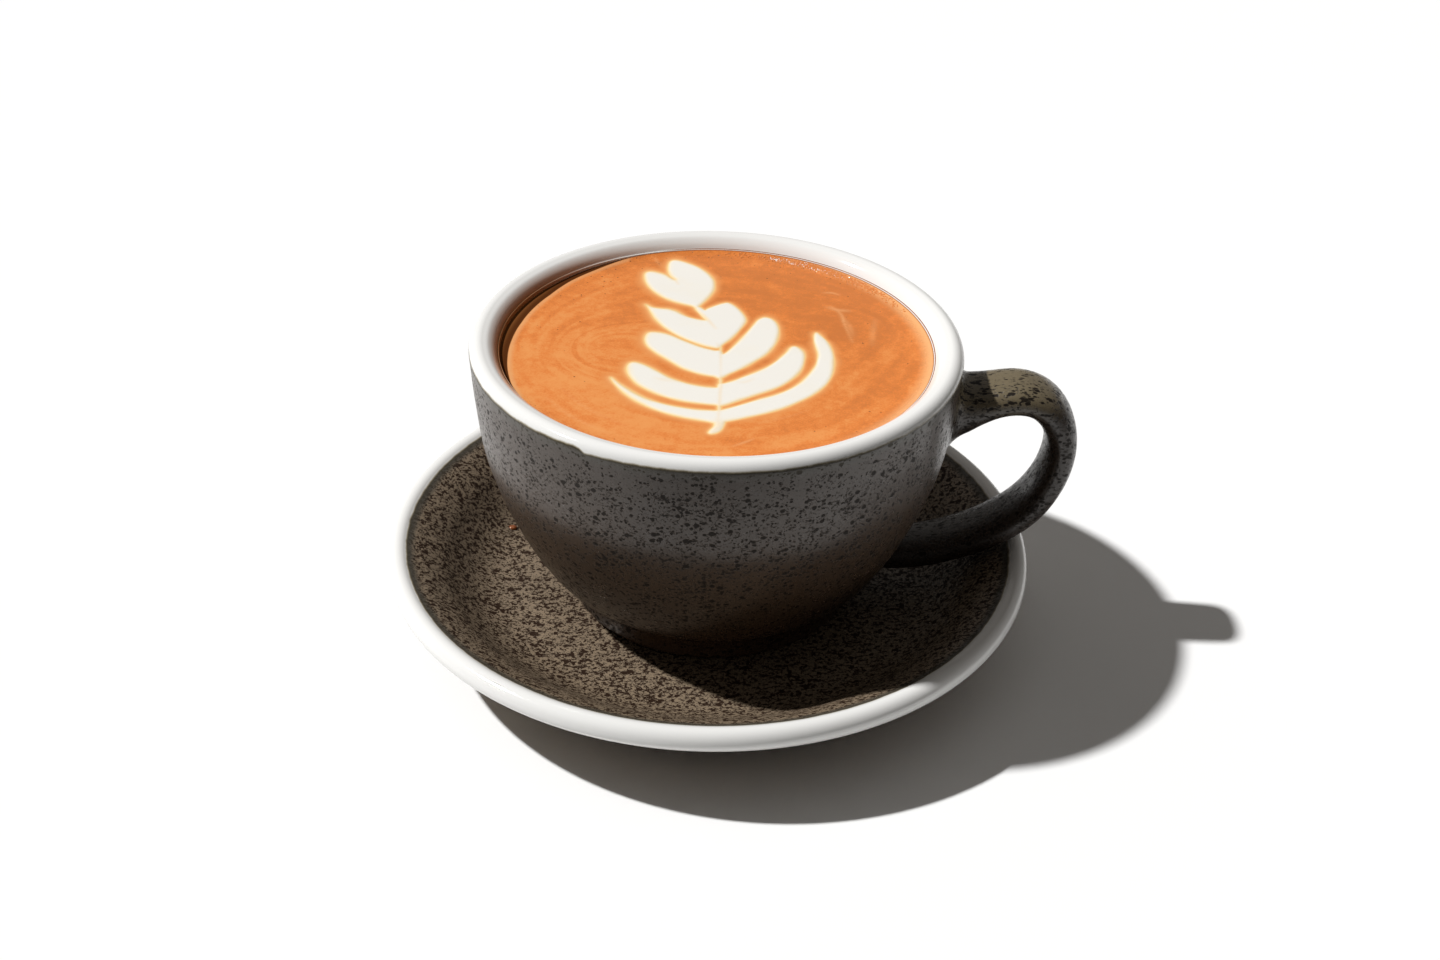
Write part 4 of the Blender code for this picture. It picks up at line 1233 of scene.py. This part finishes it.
def make_leaf(settings):
    """The foam leaf, slightly proud of the crema, and the outline of its solid."""
    floor, top = DRINK_LEVEL - MM, DRINK_LEVEL
    cutter = leaf_solid("leaf_outline", floor - MM, top + MM)
    shore = leaf_shore(cutter)
    low = np.array([tuple(vertex.co) for vertex in cutter.data.vertices])[:, :2].min(0) - 0.5 * MM
    high = np.array([tuple(vertex.co) for vertex in cutter.data.vertices])[:, :2].max(0) + 0.5 * MM
    width, length = high - low
    pitch = 0.36 * MM
    deselect_all()
    bpy.ops.mesh.primitive_grid_add(x_subdivisions=int(width / pitch), y_subdivisions=int(length / pitch), size=1.0)
    leaf = bpy.context.object
    leaf.name = leaf.data.name = "foam_leaf"
    bpy.ops.object.mode_set(mode="EDIT")
    bpy.ops.mesh.select_all(action="SELECT")
    bpy.ops.transform.resize(value=(width, length, 1.0))
    bpy.ops.transform.translate(value=((low[0] + high[0]) / 2, (low[1] + high[1]) / 2, top))
    bpy.ops.mesh.extrude_region_move(TRANSFORM_OT_translate={"value": (0.0, 0.0, floor - top)})
    bpy.ops.mesh.select_all(action="SELECT")
    bpy.ops.mesh.normals_make_consistent(inside=False)
    bpy.ops.object.mode_set(mode="OBJECT")
    combine(leaf, "INTERSECT", [cutter])
    bpy.ops.object.shade_smooth_by_angle(angle=math.radians(40))
    places = vertex_places(leaf)
    depth = distance_to_lines(places, *shore) / MM
    keep_value(leaf, "depth", depth)
    keep_value(leaf, "fold", stroke_value(places, FOLDS))
    centred = (places - np.array(CUP_AXIS))[:, :2] / MM
    radius = np.hypot(centred[:, 0], centred[:, 1])
    bearing = np.degrees(np.arctan2(centred[:, 1], centred[:, 0]))
    rise = np.clip(depth / 0.7, 0, 1)
    lift = settings.foam_rise * rise * rise * (3 - 2 * rise) + collar_rise(centred, radius, bearing) * MM
    places[:, 2] += np.where(places[:, 2] > top - 1e-5, lift, 0.0)
    leaf.data.vertices.foreach_set("co", places.ravel())
    leaf.data.update()
    return leaf, shore


def copies_of(name, corners, faces, places, sizes):
    """One mesh with a copy of a small shape at each place."""
    count = len(places)
    points = (corners[None] * sizes[:, None, None] + places[:, None]).reshape(-1, 3)
    sides = (np.array(faces)[None] + (np.arange(count) * len(corners))[:, None, None]).reshape(-1, 3)
    mesh = bpy.data.meshes.new(name)
    mesh.from_pydata(points.tolist(), [], sides.tolist())
    mesh.shade_smooth()
    piece = bpy.data.objects.new(name, mesh)
    bpy.context.scene.collection.objects.link(piece)
    return piece


def make_bubbles(settings):
    """Small bubbles that crowd along the wall, thickest behind the leaf on the handle's side."""
    deselect_all()
    bpy.ops.mesh.primitive_ico_sphere_add(subdivisions=2, radius=1.0)
    pattern = bpy.context.object
    corners = vertex_places(pattern)
    faces = [tuple(face.vertices) for face in pattern.data.polygons]
    bpy.data.objects.remove(pattern, do_unlink=True)
    chance = np.random.default_rng(settings.seed)
    count = settings.bubbles
    bearing = np.radians(chance.normal(58.0, 13.0, count))
    sizes = chance.uniform(0.35, 1.0, count) ** 2 * 0.26 * MM
    inward = np.abs(chance.normal(0.0, 1.0, count)) * MM + 0.5 * MM
    radius = DRINK_RADIUS - inward
    across = np.column_stack((radius * np.cos(bearing), radius * np.sin(bearing)))
    rise = collar_rise(across / MM, radius / MM, np.degrees(bearing)) * MM
    places = np.column_stack((across + np.array(CUP_AXIS[:2]), DRINK_LEVEL + rise - sizes * 0.35))
    return copies_of("foam_bubbles", corners, faces, places, sizes)


def make_drop():
    """A spilt drop on the saucer, a flattened bead."""
    place = SAUCER_AXIS + Vector((-0.0490, 0.0176, 0.0))
    line = np.array([tuple(point) for point in saucer_top_line()])
    radius = math.hypot(place.x - SAUCER_AXIS.x, place.y - SAUCER_AXIS.y)
    place.z = float(np.interp(radius, line[:, 0], line[:, 1]))
    deselect_all()
    bpy.ops.mesh.primitive_uv_sphere_add(segments=32, ring_count=20, radius=1.1 * MM, location=place)
    drop = bpy.context.object
    drop.name = drop.data.name = "coffee_drop"
    bpy.ops.object.mode_set(mode="EDIT")
    bpy.ops.mesh.select_all(action="SELECT")
    bpy.ops.transform.resize(value=(1.0, 0.8, 0.55))
    bpy.ops.object.mode_set(mode="OBJECT")
    bpy.ops.object.transform_apply(location=True, rotation=True, scale=True)
    bpy.ops.object.shade_smooth()
    return drop


def aim_camera():
    """The photograph's camera."""
    deselect_all()
    bpy.ops.object.camera_add()
    camera = bpy.context.object
    camera.name = "camera"
    right = Vector((1.0, 0.0, 0.0))
    up = Vector((0.0, math.sin(CAMERA_TILT), math.cos(CAMERA_TILT)))
    forward = Vector((0.0, math.cos(CAMERA_TILT), -math.sin(CAMERA_TILT)))
    turned_right = math.cos(CAMERA_ROLL) * right + math.sin(CAMERA_ROLL) * up
    turned_up = math.cos(CAMERA_ROLL) * up - math.sin(CAMERA_ROLL) * right
    place = SAUCER_AXIS + CAMERA_FROM_SAUCER
    camera.matrix_world = Matrix((turned_right, turned_up, -forward)).transposed().to_4x4()
    camera.location = place
    camera.data.lens = CAMERA_LENS
    camera.data.sensor_width = 36.0
    camera.data.clip_start = 0.01
    bpy.context.scene.camera = camera


def light_stage(settings):
    """A key light from the left and an even fill."""
    deselect_all()
    bpy.ops.object.light_add(type="SUN", location=(-0.6, 0.0, 0.8))
    key = bpy.context.object
    key.name = "key_light"
    key.rotation_euler = LIGHT_TRAVEL.to_track_quat("-Z", "Y").to_euler()
    key.data.energy = settings.key_strength
    key.data.angle = settings.key_softness
    world = bpy.data.worlds.new("studio")
    bpy.context.scene.world = world
    world.use_nodes = True
    tree = world.node_tree
    way = add_node(tree, "ShaderNodeTexCoord").outputs["Generated"]
    toward = add_node(tree, "ShaderNodeVectorMath", {0: way, 1: FILL_TOWARD}, operation="DOT_PRODUCT").outputs["Value"]
    fill = add_math(tree, "MULTIPLY", add_step(tree, toward, -0.25, 1.0), settings.fill_strength)
    fill = add_math(tree, "ADD", fill, settings.fill_least)
    seen = add_node(tree, "ShaderNodeLightPath").outputs["Is Camera Ray"]
    background = tree.nodes["Background"]
    tree.links.new(add_mix(tree, seen, settings.fill_colour, (1.0, 1.0, 1.0)), background.inputs["Color"])
    tree.links.new(add_math(tree, "MAXIMUM", fill, seen), background.inputs["Strength"])
    bpy.context.scene.view_settings.view_transform = "Standard"


# Operators, one for each piece or group of like pieces

class LATTE_OT_cup(bpy.types.Operator):
    """Model the cup's bowl and its handle"""
    bl_idname = "latte.cup"
    bl_label = "Cup"

    def execute(self, context):
        settings = context.scene.latte_cup
        material = cup_material(settings)
        settle(make_cup_body(settings), "cup_glaze", material, "cup")
        settle(make_handle(settings), "cup_glaze", handle_material(settings), "cup")
        return {"FINISHED"}


class LATTE_OT_saucer(bpy.types.Operator):
    """Model the saucer with its white bead, and the drop spilt on it"""
    bl_idname = "latte.saucer"
    bl_label = "Saucer"

    def execute(self, context):
        settings = context.scene.latte_saucer
        settle(make_saucer(settings), "saucer_glaze", saucer_material(settings), "saucer")
        settle(make_drop(), "coffee", drop_material())
        return {"FINISHED"}


class LATTE_OT_drink(bpy.types.Operator):
    """Pour the coffee and the foam leaf on it"""
    bl_idname = "latte.drink"
    bl_label = "Drink"

    def execute(self, context):
        settings = context.scene.latte_drink
        leaf, shore = make_leaf(settings)
        if not shore[0]:
            raise RuntimeError("the foam leaf has no outline")
        settle(leaf, "milk_foam", foam_material(settings), "milk_rosetta")
        settle(make_crema(settings, shore), "coffee", crema_material(settings), "coffee")
        return {"FINISHED"}


class LATTE_OT_bubbles(bpy.types.Operator):
    """Scatter the bubbles that glint along the cup's wall"""
    bl_idname = "latte.bubbles"
    bl_label = "Bubbles"

    def execute(self, context):
        settings = context.scene.latte_drink
        settle(make_bubbles(settings), "coffee", bubble_material(settings))
        return {"FINISHED"}


class LATTE_OT_stage(bpy.types.Operator):
    """Lay the floor and set the light and the camera"""
    bl_idname = "latte.stage"
    bl_label = "Stage"

    def execute(self, context):
        settings = context.scene.latte_stage
        deselect_all()
        bpy.ops.mesh.primitive_plane_add(size=settings.floor_size, location=(0.0, 0.0, 0.0))
        floor = context.object
        floor.name = "floor"
        floor.data.materials.append(floor_material(settings))
        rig.stage(floor)
        light_stage(settings)
        aim_camera()
        return {"FINISHED"}


class LATTE_PT_panel(bpy.types.Panel):
    """Lists the pieces of the latte and their settings"""
    bl_idname = "LATTE_PT_panel"
    bl_label = "Latte"
    bl_space_type = "VIEW_3D"
    bl_region_type = "UI"
    bl_category = "Latte"

    def draw(self, context):
        scene = context.scene
        for operator, group in ((LATTE_OT_cup, scene.latte_cup), (LATTE_OT_saucer, scene.latte_saucer),
                                (LATTE_OT_drink, scene.latte_drink), (LATTE_OT_bubbles, None),
                                (LATTE_OT_stage, scene.latte_stage)):
            box = self.layout.box()
            box.operator(operator.bl_idname)
            for name in (group.bl_rna.properties.keys() if group else ()):
                if name not in ("rna_type", "name"):
                    box.prop(group, name)


SETTINGS = {"latte_cup": LatteCupSettings, "latte_saucer": LatteSaucerSettings,
            "latte_drink": LatteDrinkSettings, "latte_stage": LatteStageSettings}
CLASSES = (*SETTINGS.values(), LATTE_OT_cup, LATTE_OT_saucer, LATTE_OT_drink, LATTE_OT_bubbles, LATTE_OT_stage,
           LATTE_PT_panel)


def register():
    for each in CLASSES:
        bpy.utils.register_class(each)
    for name, group in SETTINGS.items():
        setattr(bpy.types.Scene, name, bpy.props.PointerProperty(type=group))


def unregister():
    for name in SETTINGS:
        delattr(bpy.types.Scene, name)
    for each in reversed(CLASSES):
        bpy.utils.unregister_class(each)


def main():
    """Builds every piece in order and writes the sizes of the solids and of the dressed model."""
    register()
    bpy.ops.latte.cup()
    bpy.ops.latte.saucer()
    bpy.ops.latte.drink()
    bpy.ops.latte.bubbles()
    bpy.ops.latte.stage()
    sizes = {"cad": [list(corner) for corner in CAD_BOX], "visual": [list(corner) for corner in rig.bounds()]}
    with open("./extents.json", "w") as file:
        json.dump(sizes, file)


if __name__ == "__main__":
    main()
